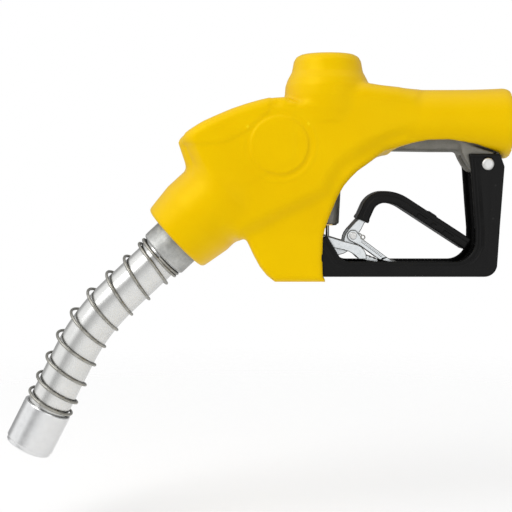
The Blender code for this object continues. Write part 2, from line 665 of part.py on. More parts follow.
def plunger_parts():
    """The plunger that holds the lever's pivot, and the three balls that lock it."""
    plunger = turned(
        [(-74.0, 2.8), (-74.0, 5.6), (-45.5, 5.6), (-45.5, 8.2), (-43.5, 8.2), (-43.5, 5.6), (6.0, 5.6),
         (6.0, 0.0), (-50.0, 0.0), (-50.0, 2.8)],
        PIVOT, TRIP_DIR,
    )
    across = Vector((math.cos(TRIP_TILT), 0.0, math.sin(TRIP_TILT)))
    ball_centre = PIVOT + TRIP_DIR * BALLS_ALONG
    for number in range(1, 4):
        turn = math.radians(120.0 * (number - 1))
        out = across * math.cos(turn) + AXIS_Y * math.sin(turn)
        cut(plunger, rod(ball_centre, out, 2.0, 10.0, 2.2, 12))
        ball = turned(arc((4.6, 0.0), 1.9, 180.0, 0.0, 6), ball_centre, out, 10)
        part(f"latch_ball_{number}", ball, SATIN, PLUNGER_BODY)
    cut(plunger, rod(PIVOT, AXIS_Y, -20.0, 20.0, 2.8, 16))
    part("trip_plunger", plunger, SATIN, PLUNGER_BODY)
    part("plunger_spring", coil(PIVOT, TRIP_DIR, -42.5, -25.8, 7.0, 0.6, 5.0), SPRING_STEEL)
    part("plunger_retainer", ring(PIVOT, TRIP_DIR, -25.0, -23.0, 6.0, 8.3), ZINC)


def lever_parts():
    part("lever", lever(), ZINC, LEVER_BODY)
    part("lever_grip", lever_grip(), BLACK, LEVER_BODY)
    part("lever_pin", rod(PIVOT, AXIS_Y, -13.0, 13.0, 2.5, 16), SATIN, LEVER_BODY)
    clip_rivet = turned(
        [(-13.6, 0.0), (-13.6, 2.8), (-13.2, 3.2), (-13.2, 2.0), (13.2, 2.0), (13.2, 3.2), (13.6, 2.8),
         (13.6, 0.0)],
        CLIP_RIVET, AXIS_Y, 16,
    )
    part("clip_rivet", clip_rivet, SATIN, LEVER_BODY)
    part("clip_spring_near", clip_spring(-1.0), SPRING_STEEL, LEVER_BODY)
    part("clip_spring_far", clip_spring(1.0), SPRING_STEEL, LEVER_BODY)
    part("hold_open_clip", hold_open_clip(), ZINC, CLIP_BODY)


def guard_parts():
    part("lever_guard", lever_guard(), BLACK)
    part("hold_open_rack", hold_open_rack(), ZINC)
    for name, side in (("rack_rivet_near", -1.0), ("rack_rivet_far", 1.0)):
        part(name, rod(RACK_RIVET, AXIS_Y * side, 12.3, 17.9, 2.0, 16), ZINC)
    guard_rivet = turned(
        [(-19.8, 0.0), (-19.8, 3.0), (-18.3, 4.3), (-18.3, 2.5), (18.3, 2.5), (18.3, 4.3), (19.8, 3.0),
         (19.8, 0.0)],
        GUARD_RIVET, AXIS_Y, 24,
    )
    part("guard_rivet", guard_rivet, SATIN)
    part("guard_front_pin", rod(FRONT_PIN, AXIS_Y, -17.9, 17.9, 2.2, 16), ZINC)


cover_parts()
spout_parts()
main_valve_parts()
check_valve_parts()
shut_off_parts()
plunger_parts()
lever_parts()
guard_parts()
LEVER_BODY.parent = PLUNGER_BODY
LEVER_BODY.location = Vector()
CLIP_BODY.parent = LEVER_BODY
CLIP_BODY.location = (CLIP_RIVET - PIVOT) * MM
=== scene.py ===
import json
import math

import bmesh
import bpy
import numpy as np
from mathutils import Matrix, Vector


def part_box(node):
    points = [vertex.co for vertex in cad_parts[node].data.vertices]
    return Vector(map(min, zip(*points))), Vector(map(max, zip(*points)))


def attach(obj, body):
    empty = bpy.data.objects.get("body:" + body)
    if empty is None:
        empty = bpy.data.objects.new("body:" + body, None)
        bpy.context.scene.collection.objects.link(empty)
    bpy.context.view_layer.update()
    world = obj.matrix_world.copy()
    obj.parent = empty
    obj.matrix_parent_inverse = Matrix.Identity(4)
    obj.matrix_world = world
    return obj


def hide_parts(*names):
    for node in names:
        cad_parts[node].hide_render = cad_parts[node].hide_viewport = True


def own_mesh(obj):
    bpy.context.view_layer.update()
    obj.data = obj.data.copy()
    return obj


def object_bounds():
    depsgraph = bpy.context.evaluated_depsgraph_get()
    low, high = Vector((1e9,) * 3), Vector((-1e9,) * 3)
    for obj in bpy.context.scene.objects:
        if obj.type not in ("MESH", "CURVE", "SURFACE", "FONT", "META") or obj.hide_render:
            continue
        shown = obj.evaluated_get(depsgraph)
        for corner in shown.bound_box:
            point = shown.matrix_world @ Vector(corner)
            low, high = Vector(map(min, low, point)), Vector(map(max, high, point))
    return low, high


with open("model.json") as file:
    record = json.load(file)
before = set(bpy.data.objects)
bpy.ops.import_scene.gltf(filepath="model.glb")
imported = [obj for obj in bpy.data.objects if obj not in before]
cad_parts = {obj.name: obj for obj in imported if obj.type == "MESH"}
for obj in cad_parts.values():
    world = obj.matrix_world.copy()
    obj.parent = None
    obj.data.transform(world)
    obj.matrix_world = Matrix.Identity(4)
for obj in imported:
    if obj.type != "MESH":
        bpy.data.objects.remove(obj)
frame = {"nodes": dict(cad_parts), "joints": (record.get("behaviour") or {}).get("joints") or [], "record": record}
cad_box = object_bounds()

# Points are millimetres from the centre of the inlet's face until a mesh is made.
MM = 0.001
SIDES = (("near", -1.0), ("far", 1.0))
AXIS_X = Vector((1.0, 0.0, 0.0))
AXIS_Y = Vector((0.0, 1.0, 0.0))
AXIS_Z = Vector((0.0, 0.0, 1.0))
JOINTS = {joint["name"]: joint for joint in frame["joints"]}
MOUNTS = {mount["name"]: mount for mount in frame["record"]["mounts"]}
INLET_MOUNT = Vector(MOUNTS["hose_inlet"]["pos_m"])
INLET = Vector((INLET_MOUNT.x, 0.0, INLET_MOUNT.z))


def from_inlet(point):
    return (Vector(point) - INLET) / MM


def joint_axis(name):
    return Vector(JOINTS[name]["axis"])


def upwards(direction):
    """The direction turned a quarter turn in the (x, z) plane."""
    return Vector((direction.z, 0.0, -direction.x))


def node_centre(name):
    low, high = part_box(name)
    return from_inlet((Vector(low) + Vector(high)) * 0.5)


PIVOT = from_inlet(JOINTS["lever_pivot"]["pos_m"])
CLIP_RIVET = from_inlet(JOINTS["clip_pivot"]["pos_m"])
TRIP_DIR = joint_axis("plunger_slide")
NOSE_DIR = joint_axis("check_valve_slide")
NOSE_UP = upwards(NOSE_DIR)
VALVE = Vector((node_centre("main_stem").x, 0.0, 0.0))
GUARD_RIVET = node_centre("guard_rivet")
RACK_RIVET = node_centre("rack_rivet_near")
FRONT_PIN = node_centre("guard_front_pin")

# scuff guard and casting
SKIN = 2.5
UPPER_HALF_WIDTH = 28.0
LOWER_HALF_WIDTH = 21.0
HANDLE_R = 23.1
HUMP = Vector((VALVE.x - 0.5, 0.0, 0.0))
NOSE = Vector((-238.0, 0.0, -82.9))
NOSE_RISE = 2.0
TRIP_TILT = math.atan2(TRIP_DIR.x, -TRIP_DIR.z)
PAD_CENTRE = (-168.2, -18.0)
# spout, along its axis from the scuff guard's nose
COLLAR_R = 18.9
COLLAR_OUT = 18.5
TUBE_R = 15.1
BEND_START = 62.0
BEND_END = 116.0
BEND_ANGLE = math.radians(19.9)
FERRULE_START = 158.7
FERRULE_R = 17.65
# lever, clip and lever guard
CHEEK_OUT = 11.7
PLATE = 1.5
STRAP_HALF = 2.9
GRIP_HALF = 4.3
GRIP_HALF_WIDTH = 14.0
CLIP_INNER = 12.0
CLIP_OUTER = 13.0
RACK_INNER = 13.9
RACK_OUTER = 15.3
LEVER_GUARD_HALF_WIDTH = 18.0
LEVER_GUARD_WALL = 2.2


# ---------------------------------------------------------------- materials

class Nodes:
    """A node tree built one node at a time."""

    def __init__(self, tree):
        self.tree = tree

    def node(self, kind, **inputs):
        made = self.tree.nodes.new(kind)
        for key, value in inputs.items():
            self.set(made.inputs[key.replace("_", " ")], value)
        return made

    def set(self, socket, value):
        if isinstance(value, bpy.types.NodeSocket):
            self.tree.links.new(value, socket)
        else:
            socket.default_value = value

    def maths(self, operation, first, second=0.5):
        made = self.node("ShaderNodeMath")
        made.operation = operation
        self.set(made.inputs[0], first)
        self.set(made.inputs[1], second)
        return made.outputs[0]

    def ramp(self, factor, stops):
        made = self.node("ShaderNodeValToRGB", Fac=factor)
        elements = made.color_ramp.elements
        while len(elements) < len(stops):
            elements.new(0.5)
        for element, (position, colour) in zip(elements, stops):
            element.position = position
            element.color = (*colour, 1.0)
        return made.outputs["Color"]

    def tone(self, factor, low, high, start=0.3, end=0.7):
        return self.ramp(factor, [(start, low), (end, high)])

    def grey_ramp(self, factor, low, high, start=0.3, end=0.7):
        return self.tone(factor, (low,) * 3, (high,) * 3, start, end)


class Shader(Nodes):
    """A material around one principled surface."""

    def __init__(self, name):
        self.material = bpy.data.materials.new(name)
        self.material.use_nodes = True
        super().__init__(self.material.node_tree)
        self.surface = self.tree.nodes["Principled BSDF"]
        self.place = self.node("ShaderNodeTexCoord").outputs["Object"]

    def noise(self, per_metre, detail=3.0, roughness=0.5, vector=None):
        made = self.node(
            "ShaderNodeTexNoise", Vector=vector or self.place, Scale=per_metre, Detail=detail, Roughness=roughness
        )
        return made.outputs["Fac"]

    def mix(self, factor, *colours):
        made = self.node("ShaderNodeMix")
        made.data_type = "RGBA"
        self.set(made.inputs[0], factor)
        for socket, colour in zip((made.inputs[6], made.inputs[7]), colours):
            self.set(socket, colour if isinstance(colour, bpy.types.NodeSocket) else (*colour, 1.0))
        return made.outputs[2]

    def bump(self, height, depth, normal=None):
        made = self.node("ShaderNodeBump", Height=height, Strength=1.0, Distance=depth)
        if normal:
            self.set(made.inputs["Normal"], normal)
        return made.outputs["Normal"]

    def edges(self, low, high):
        """0 on flat and hollow places, 1 on convex edges."""
        pointed = self.node("ShaderNodeNewGeometry").outputs["Pointiness"]
        return self.grey_ramp(pointed, 0.0, 1.0, low, high)

    def painted_contact_shade(self, reach, strength):
        """Painted shade: up to the strength given where another surface comes within the reach, 0 in the open."""
        shade = self.node("ShaderNodeAmbientOcclusion", Distance=reach)
        shade.samples = 8
        return self.grey_ramp(shade.outputs["AO"], strength, 0.0, 0.15, 0.85)

    def done(self, **inputs):
        for key, value in inputs.items():
            self.set(self.surface.inputs[key.replace("_", " ")], value)
        return self.material


def yellow_vinyl():
    """Dipped vinyl: an even yellow with a soft sheen, a fine skin and slow shifts of tone."""
    shader = Shader("yellow_vinyl_skin")
    clouds = shader.noise(22.0, 3.0, 0.55)
    tone = shader.tone(clouds, (0.765, 0.475, 0.0), (0.80, 0.508, 0.0))
    grime = shader.grey_ramp(shader.noise(60.0, 6.0, 0.65), 0.0, 0.10, 0.55, 0.9)
    colour = shader.mix(grime, tone, (0.66, 0.40, 0.0))
    wear_and_shade = shader.mix(shader.edges(0.55, 0.66), colour, (0.92, 0.66, 0.01))
    shaded = shader.mix(shader.painted_contact_shade(0.012, 0.22), wear_and_shade, (0.62, 0.36, 0.0))
    ripple = shader.bump(shader.noise(180.0, 2.0, 0.5), 0.00010)
    skin = shader.bump(shader.noise(2600.0, 2.0, 0.6), 0.00002, ripple)
    sheen = shader.grey_ramp(shader.noise(90.0, 4.0, 0.6), 0.30, 0.42)
    return shader.done(
        Base_Color=shaded, Roughness=sheen, Normal=skin, Specular_IOR_Level=0.45,
        Specular_Tint=(1.0, 0.82, 0.06, 1.0), Subsurface_Weight=0.05, Subsurface_Radius=(0.004, 0.002, 0.0005),
    )


def black_vinyl(name, roughness):
    """Black dipped vinyl, with a leathery micro texture and greyer convex edges: rubbed wear and a painted highlight
    along them.
    """
    shader = Shader(name)
    clouds = shader.noise(70.0, 5.0, 0.6)
    tone = shader.tone(clouds, (0.0022, 0.0022, 0.0023), (0.0050, 0.0050, 0.0049))
    # Convex edges painted greyer: rubbed wear and a painted highlight.
    lighter_edges = shader.mix(shader.edges(0.54, 0.66), tone, (0.018, 0.018, 0.017))
    pebbles = shader.bump(shader.noise(1500.0, 2.0, 0.6), 0.00006)
    waves = shader.bump(shader.noise(240.0, 2.0, 0.5), 0.00012, pebbles)
    sheen = shader.grey_ramp(clouds, roughness - 0.06, roughness + 0.1)
    return shader.done(Base_Color=lighter_edges, Roughness=sheen, Normal=waves, Specular_IOR_Level=0.15)


def scaled(colour, share):
    return tuple(min(channel * share, 0.95) for channel in colour)


def cast_metal(name, dark, light, grain_depth, roughness):
    """Sand-cast aluminium: pitted grain, dull grey, a little brighter on its edges, with painted shade where other
    surfaces come close.
    """
    shader = Shader(name)
    clouds = shader.noise(90.0, 8.0, 0.7)
    tone = shader.tone(clouds, dark, light, 0.32, 0.68)
    speck = shader.grey_ramp(shader.noise(1100.0, 3.0, 0.7), 0.0, 0.5, 0.56, 0.75)
    spotted = shader.mix(speck, tone, scaled(dark, 0.45))
    lighter_edges = shader.mix(shader.edges(0.53, 0.62), spotted, scaled(light, 1.5))
    # Painted shade: darker where other surfaces come close.
    wear_and_shade = shader.mix(shader.painted_contact_shade(0.006, 0.7), lighter_edges, scaled(dark, 0.2))
    grain = shader.bump(shader.noise(1300.0, 5.0, 0.65), grain_depth)
    rough = shader.grey_ramp(clouds, roughness - 0.08, roughness + 0.1)
    return shader.done(Base_Color=wear_and_shade, Roughness=rough, Normal=grain, Metallic=0.85)


def drawn_tube(tilt):
    """Drawn aluminium tube: lines along it, soft smears, a few handling scratches and painted shade where other
    surfaces come close.
    """
    shader = Shader("drawn_aluminium")
    along = shader.node(
        "ShaderNodeMapping", Vector=shader.place, Scale=(1.0, 1.0, 0.03), Rotation=(0.0, tilt, 0.0)
    )
    lines = shader.noise(2600.0, 4.0, 0.6, along.outputs["Vector"])
    smears = shader.noise(130.0, 5.0, 0.6)
    clean = shader.tone(smears, (0.68, 0.685, 0.675), (0.74, 0.74, 0.725))
    streaks = shader.grey_ramp(lines, 0.0, 0.28, 0.46, 0.74)
    tone = shader.mix(streaks, clean, (0.60, 0.60, 0.58))
    scratch = shader.grey_ramp(shader.noise(900.0, 5.0, 0.8), 0.0, 0.25, 0.68, 0.74)
    wear_and_shade = shader.mix(scratch, tone, (0.55, 0.55, 0.53))
    # Painted shade: darker where other surfaces come close.
    colour = shader.mix(shader.painted_contact_shade(0.004, 0.55), wear_and_shade, (0.16, 0.155, 0.14))
    rough = shader.grey_ramp(lines, 0.20, 0.30)
    brushed = shader.bump(lines, 0.000012)
    return shader.done(Base_Color=colour, Roughness=rough, Normal=brushed, Metallic=1.0)


def turned_metal(name, colour, roughness):
    """Machined or polished metal with fine tool marks, faint stains and painted shade where other surfaces come
    close.
    """
    shader = Shader(name)
    stains = shader.noise(260.0, 6.0, 0.65)
    clean = shader.tone(stains, scaled(colour, 0.92), colour, 0.32, 0.62)
    # Painted shade: darker where other surfaces come close.
    tone = shader.mix(shader.painted_contact_shade(0.003, 0.6), clean, scaled(colour, 0.2))
    marks = shader.bump(shader.noise(2200.0, 3.0, 0.7), 0.00001)
    rough = shader.grey_ramp(stains, roughness - 0.02, roughness + 0.04)
    return shader.done(Base_Color=tone, Roughness=rough, Normal=marks, Metallic=1.0)


def zinc_plate():
    """Zinc-plated sheet: pale blue-grey with dull patches and brighter convex edges, its cut sides painted near black
    as shade, and painted shade where other surfaces come close.
    """
    shader = Shader("zinc_plate")
    patches = shader.noise(420.0, 5.0, 0.6)
    tone = shader.tone(patches, (0.62, 0.65, 0.665), (0.76, 0.785, 0.80))
    lighter_edges = shader.mix(shader.edges(0.54, 0.64), tone, (0.90, 0.91, 0.91))
    # Sides that do not face across the sheet, its cut edges, painted near black: partly the duller sheared edge,
    # mostly painted shade for the shadow gaps between plates and the dark reflections in the edges.
    facing = shader.node("ShaderNodeSeparateXYZ", Vector=shader.node("ShaderNodeNewGeometry").outputs["Normal"])
    edge_shade_mask = shader.grey_ramp(shader.maths("ABSOLUTE", facing.outputs["Y"]), 0.85, 0.0, 0.35, 0.9)
    cut = shader.mix(edge_shade_mask, lighter_edges, (0.075, 0.075, 0.068))
    # Painted shade: darker where other surfaces come close.
    wear_and_shade = shader.mix(shader.painted_contact_shade(0.0022, 0.92), cut, (0.03, 0.03, 0.028))
    marks = shader.bump(shader.noise(1800.0, 4.0, 0.7), 0.00002)
    rough = shader.grey_ramp(patches, 0.26, 0.44)
    return shader.done(Base_Color=wear_and_shade, Roughness=rough, Normal=marks, Metallic=0.9)


def edge_painted_shade():
    """The cut edge of the plated sheet and a thin ring round each face, darker than the faces: partly the duller
    sheared edge, mostly painted shade for the shadow gaps between plates and the dark reflections in the edges, in
    blotchy dark grey.
    """
    shader = Shader("zinc_edge_painted_shade")
    patches = shader.noise(700.0, 5.0, 0.65)
    tone = shader.tone(patches, (0.06, 0.06, 0.055), (0.17, 0.17, 0.16))
    marks = shader.bump(shader.noise(2500.0, 4.0, 0.7), 0.00003)
    return shader.done(Base_Color=tone, Roughness=0.55, Normal=marks, Metallic=0.6)


def spring_wire():
    """Galvanised spring wire with drawing marks, dull stains and painted shade where other surfaces come close."""
    shader = Shader("spring_wire")
    stains = shader.noise(320.0, 5.0, 0.6)
    clean = shader.tone(stains, (0.24, 0.235, 0.21), (0.46, 0.45, 0.41))
    # Painted shade: darker where other surfaces come close.
    tone = shader.mix(shader.painted_contact_shade(0.003, 0.8), clean, (0.03, 0.03, 0.028))
    marks = shader.bump(shader.noise(2500.0, 3.0, 0.7), 0.00002)
    rough = shader.grey_ramp(stains, 0.25, 0.45)
    return shader.done(Base_Color=tone, Roughness=rough, Normal=marks, Metallic=0.95)


def rubber():
    shader = Shader("rubber_seal")
    clouds = shader.noise(300.0, 4.0, 0.6)
    tone = shader.tone(clouds, (0.010, 0.010, 0.010), (0.022, 0.022, 0.021))
    return shader.done(Base_Color=tone, Roughness=0.75, Normal=shader.bump(clouds, 0.00004))


YELLOW = yellow_vinyl()
BLACK = black_vinyl("black_vinyl_guard", 0.40)
GRIP_BLACK = black_vinyl("black_vinyl_grip", 0.46)
CAST = cast_metal("cast_aluminium_grey", (0.17, 0.165, 0.14), (0.27, 0.26, 0.235), 0.00010, 0.58)
COLLAR = cast_metal("cast_aluminium_bright", (0.27, 0.275, 0.265), (0.55, 0.555, 0.54), 0.00020, 0.42)
TUBE = drawn_tube(math.radians(37.0))
POLISHED = turned_metal("polished_aluminium", (0.75, 0.755, 0.76), 0.22)
RIVET = turned_metal("rivet_aluminium", (0.70, 0.70, 0.69), 0.45)
STEEL = turned_metal("machined_steel", (0.40, 0.40, 0.39), 0.34)
BRASS = turned_metal("machined_brass", (0.72, 0.53, 0.24), 0.28)
ZINC = zinc_plate()
ZINC_EDGE_SHADE = edge_painted_shade()
WIRE = spring_wire()
RUBBER = rubber()


# ---------------------------------------------------------------- signed distance shapes

class Grid:
    """Sample points in a box, in millimetres, for fields that are negative inside a shape."""

    def __init__(self, low, high, step):
        self.low = np.array(low, np.float32)
        self.step = step
        counts = [int(math.ceil((h - l) / step)) + 1 for l, h in zip(low, high)]
        axes = [l + step * np.arange(n, dtype=np.float32) for l, n in zip(low, counts)]
        self.x = axes[0][:, None, None]
        self.y = axes[1][None, :, None]
        self.z = axes[2][None, None, :]
        self.shape = tuple(counts)


def clamp(values):
    return np.clip(values, 0.0, 1.0)


def beside(grid, start, width):
    """0 near the middle plane, rising to 1 over a width that starts a distance out from it."""
    return clamp((np.abs(grid.y) - start) / width)


def smooth_min(a, b, k):
    h = np.maximum(k - np.abs(a - b), 0.0) / k
    return np.minimum(a, b) - h * h * k * 0.25


def smooth_max(a, b, k):
    return -smooth_min(-a, -b, k)


def polygon_field(outline, x, z):
    """Signed distance to a closed 2-D outline."""
    points = np.array(outline, np.float32)
    nearest = np.full(np.broadcast(x, z).shape, 1e9, np.float32)
    inside = np.zeros(nearest.shape, bool)
    for (ax, az), (bx, bz) in zip(points, np.roll(points, -1, axis=0)):
        ex, ez = bx - ax, bz - az
        wx, wz = x - ax, z - az
        length = max(ex * ex + ez * ez, 1e-9)
        t = clamp((wx * ex + wz * ez) / length)
        nearest = np.minimum(nearest, (wx - t * ex) ** 2 + (wz - t * ez) ** 2)
        crosses = ((az > z) != (bz > z)) & (wx * (bz - az) < wz * ex if bz > az else wx * (bz - az) > wz * ex)
        inside ^= crosses
    distance = np.sqrt(nearest)
    return np.where(inside, -distance, distance)


def rounded_meet(a, b, radius):
    """Where two fields are both negative, with the edge between them rounded."""
    u = np.maximum(a + radius, 0.0)
    v = np.maximum(b + radius, 0.0)
    return np.minimum(np.maximum(a, b) + radius, 0.0) + np.sqrt(u * u + v * v) - radius


def slab_field(grid, outline, half_width, radius, centre_y=0.0):
    """An (x, z) outline extruded across Y, its edges rounded."""
    flat = polygon_field(outline, grid.x, grid.z)
    return rounded_meet(flat, np.abs(grid.y - centre_y) - half_width, radius)


def axis_parts(grid, start, direction):
    """Distance along an axis and out from it."""
    x, y, z = grid.x - start.x, grid.y - start.y, grid.z - start.z
    along = x * direction.x + y * direction.y + z * direction.z
    out = np.sqrt(np.maximum(x * x + y * y + z * z - along * along, 0.0))
    return along, out


def rod_field(grid, start, direction, begin, end, radius, rounding=0.0):
    along, out = axis_parts(grid, start, direction)
    ends = np.abs(along - (begin + end) * 0.5) - (end - begin) * 0.5
    return rounded_meet(out - radius, ends, rounding)


def turned_field(grid, start, direction, profile, rounding=0.0):
    """A solid of revolution from (distance along the axis, radius) points, closed along the axis."""
    along, out = axis_parts(grid, start, direction)
    mirrored = profile + [(a, -r) for a, r in reversed(profile)]
    return polygon_field([(r, a) for a, r in mirrored], out, along) - rounding


def sampled(field, points):
    """The field at points in grid units, between samples."""
    limit = np.array(field.shape) - 2
    cell = np.clip(np.floor(points).astype(np.int64), 0, limit)
    part = clamp(points - cell)
    total = np.zeros(len(points))
    for corner in range(8):
        shift = np.array([corner & 1, corner >> 1 & 1, corner >> 2])
        weight = np.prod(np.where(shift, part, 1.0 - part), axis=1)
        index = cell + shift
        total += weight * field[index[:, 0], index[:, 1], index[:, 2]]
    return total


def net_surface(grid, field):
    """The zero surface of a field as points in millimetres and quads that face outwards."""
    cells = np.array(grid.shape) - 1
    size = int(np.prod(cells))
    strides = np.array([cells[1] * cells[2], cells[2], 1])
    sums = np.zeros((3, size))
    counts = np.zeros(size)
    faces = []
    for axis in range(3):
        low = [slice(None)] * 3
        high = [slice(None)] * 3
        low[axis], high[axis] = slice(None, -1), slice(1, None)
        first, second = field[tuple(low)], field[tuple(high)]
        edge = np.argwhere((first < 0) != (second < 0))
        a = first[tuple(edge.T)]
        b = second[tuple(edge.T)]
        spot = edge.astype(float)
        spot[:, axis] += a / (a - b)
        u, v = [other for other in range(3) if other != axis]
        around = []
        whole = np.ones(len(edge), bool)
        for du, dv in ((0, 0), (-1, 0), (-1, -1), (0, -1)):
            cell = edge.copy()
            cell[:, u] += du
            cell[:, v] += dv
            whole &= ((cell >= 0) & (cell < cells)).all(1)
            around.append(cell)
        ids = np.stack([cell @ strides for cell in around], axis=1)[whole]
        for column in range(4):
            counts += np.bincount(ids[:, column], minlength=size)
            for dim in range(3):
                sums[dim] += np.bincount(ids[:, column], weights=spot[whole, dim], minlength=size)
        outward = (a < 0)[whole] != (axis == 1)
        faces.append(np.where(outward[:, None], ids, ids[:, ::-1]))
    used = counts > 0
    number = np.cumsum(used) - 1
    points = (sums[:, used] / counts[used]).T
    for _ in range(2):
        value = sampled(field, points)
        slope = np.stack(
            [sampled(field, points + d) - sampled(field, points - d) for d in 0.5 * np.eye(3)], axis=1
        )
        length = np.maximum((slope ** 2).sum(1), 1e-6)
        step = (value / length)[:, None] * slope
        points -= np.clip(step, -0.6, 0.6)
    return points * grid.step + grid.low, number[np.concatenate(faces)]


def without_strays(points, faces):
    """Sets single points that stand out from the surface back among their neighbours."""
    ends = np.concatenate([faces[:, [side, (side + 1) % 4]] for side in range(4)])
    a, b = ends[:, 0], ends[:, 1]
    size = len(points)
    count = np.maximum(np.bincount(a, minlength=size), 1)

    def among(values):
        return np.bincount(a, weights=values[b], minlength=size) / count

    middle = np.stack([among(points[:, dim]) for dim in range(3)], axis=1)
    height = np.sqrt(((points - middle) ** 2).sum(1))
    stray = height > 2.2 * among(height) + 0.06
    points[stray] = middle[stray]
    return points


def placed(name, data):
    made = bpy.data.objects.new(name, data)
    bpy.context.scene.collection.objects.link(made)
    return made


def add_mesh(name, points, faces, material):
    """A smooth-shaded mesh object from points in millimetres."""
    mesh = bpy.data.meshes.new(name)
    mesh.from_pydata((np.asarray(points) * MM + np.array(INLET)).tolist(), [], faces)
    mesh.shade_smooth()
    mesh.materials.append(material)
    return placed(name, mesh)


def fit(made, body, node=None):
    """Makes a piece ride on a body, in place of a CAD node."""
    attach(made, body)
    if node:
        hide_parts(node)


def drop_specks(mesh):
    """Deletes pieces of the mesh that hang loose from its largest one."""
    builder = bmesh.new()
    builder.from_mesh(mesh)
    builder.verts.ensure_lookup_table()
    unseen = set(range(len(builder.verts)))
    islands = []
    while unseen:
        seed = unseen.pop()
        island, front = [seed], [seed]
        while front:
            for edge in builder.verts[front.pop()].link_edges:
                for vert in edge.verts:
                    if vert.index in unseen:
                        unseen.discard(vert.index)
                        island.append(vert.index)
                        front.append(vert.index)
        islands.append(island)
    largest = max(islands, key=len)
    extra = [builder.verts[i] for island in islands if island is not largest for i in island]
    if extra:
        bmesh.ops.delete(builder, geom=extra, context="VERTS")
        builder.to_mesh(mesh)
    builder.free()


def shaped(name, grid, field, material):
    points, faces = net_surface(grid, np.broadcast_to(field, grid.shape).astype(np.float32))
    points = without_strays(points, faces)
    made = add_mesh(name, points, faces.tolist(), material)
    drop_specks(made.data)
    return made


# ---------------------------------------------------------------- swept, turned and plate shapes

def arc(centre, radius, begin, end, steps):
    turns = [math.radians(begin + (end - begin) * step / steps) for step in range(steps + 1)]
    return [(centre[0] + radius * math.cos(t), centre[1] + radius * math.sin(t)) for t in turns]


def ring(centre, first, second, radius, count):
    """Points around a centre, from the first direction towards the second."""
    turns = [2 * math.pi * step / count for step in range(count)]
    return [centre + (first * math.cos(t) + second * math.sin(t)) * radius for t in turns]


def between_rings(low, high, count):
    """Quads between two rings of points, given the number of each ring's first point."""
    return [[low + i, low + (i + 1) % count, high + (i + 1) % count, high + i] for i in range(count)]


def turned(name, start, direction, profile, material, steps=96, sharp=30.0):
    """A solid of revolution from a closed loop of (distance along the axis, radius)."""
    side = direction.orthogonal().normalized()
    other = direction.cross(side)
    points, faces, rings = [], [], []
    for along, radius in profile:
        first = len(points)
        centre = start + direction * along
        if radius == 0.0:
            points.append(centre)
            rings.append([first] * steps)
            continue
        points += ring(centre, side, other, radius, steps)
        rings.append(list(range(first, first + steps)))
    for a, b in zip(rings, rings[1:] + rings[:1]):
        for step in range(steps):
            after = (step + 1) % steps
            corners = [a[step], a[after], b[after], b[step]]
            corners = [c for i, c in enumerate(corners) if c != corners[i - 1]]
            if len(set(corners)) > 2:
                faces.append(corners)
    return outwards(add_mesh(name, points, faces, material), sharp)


def outwards(made, sharp):
    """Turns the faces outwards, and keeps edges sharper than an angle in degrees crisp."""
    builder = bmesh.new()
    builder.from_mesh(made.data)
    bmesh.ops.recalc_face_normals(builder, faces=builder.faces)
    builder.to_mesh(made.data)
    builder.free()
    made.data.shade_smooth()
    made.data.set_sharp_from_angle(angle=math.radians(sharp))
    return made


def swept(name, path, radius, material, sides=16):
    """A round bar along 3-D points, with slightly domed ends."""
    points, faces = [], []
    ahead = (path[1] - path[0]).normalized()
    normal = ahead.orthogonal().normalized()
    for index, centre in enumerate(path):
        before = path[max(index - 1, 0)]
        after = path[min(index + 1, len(path) - 1)]
        direction = (after - before).normalized()
        normal = (normal - direction * normal.dot(direction)).normalized()
        points += ring(centre, normal, direction.cross(normal), radius, sides)
    for index in range(len(path) - 1):
        faces += between_rings(index * sides, (index + 1) * sides, sides)
    for end, inner, first in ((path[0], path[1], 0), (path[-1], path[-2], (len(path) - 1) * sides)):
        tip = len(points)
        points.append(end + (end - inner).normalized() * radius * 0.4)
        for side in range(sides):
            faces.append([first + side, first + (side + 1) % sides, tip])
    return outwards(add_mesh(name, points, faces, material), 60.0)


def plate(name, outline, y_from, y_to, bevel=0.3):
    """A flat plated sheet cut to an (x, z) outline, with small rounded edges and painted shade along its edges."""
    builder = bmesh.new()
    verts = [builder.verts.new(Vector((x, y_from, z)) * MM + INLET) for x, z in outline]
    face = builder.faces.new(verts)
    grown = bmesh.ops.extrude_face_region(builder, geom=[face])
    far = [item for item in grown["geom"] if isinstance(item, bmesh.types.BMVert)]
    bmesh.ops.translate(builder, verts=far, vec=(0.0, (y_to - y_from) * MM, 0.0))
    bmesh.ops.recalc_face_normals(builder, faces=builder.faces)
    rims = [e for e in builder.edges if abs(e.verts[0].co.y - e.verts[1].co.y) < 1e-7]
    bmesh.ops.bevel(
        builder, geom=rims, offset=bevel * MM, segments=3, profile=0.5, affect="EDGES", clamp_overlap=True
    )
    # The sides and a thin ring round each broad face take the second material, painted shade along the edges.
    flats = [f for f in builder.faces if abs(f.normal.y) > 0.999 and len(f.verts) > 4]
    bmesh.ops.inset_individual(builder, faces=flats, thickness=0.22 * MM)
    for item in builder.faces:
        item.material_index = 1
    for item in flats:
        item.material_index = 0
    bmesh.ops.triangulate(builder, faces=[f for f in builder.faces if len(f.verts) > 4])
    mesh = bpy.data.meshes.new(name)
    builder.to_mesh(mesh)
    builder.free()
    mesh.shade_smooth()
    mesh.set_sharp_from_angle(angle=math.radians(40.0))
    mesh.materials.append(ZINC)
    mesh.materials.append(ZINC_EDGE_SHADE)
    return placed(name, mesh)


def both_sides(name, outline, inner, outer):
    return [plate(f"{name}_{side}", outline, *sorted((y * inner, y * outer))) for side, y in SIDES]


def extended(path, before, after):
    first = path[0] + (path[0] - path[1]).normalized() * before
    last = path[-1] + (path[-1] - path[-2]).normalized() * after
    return [first] + path[1:-1] + [last]


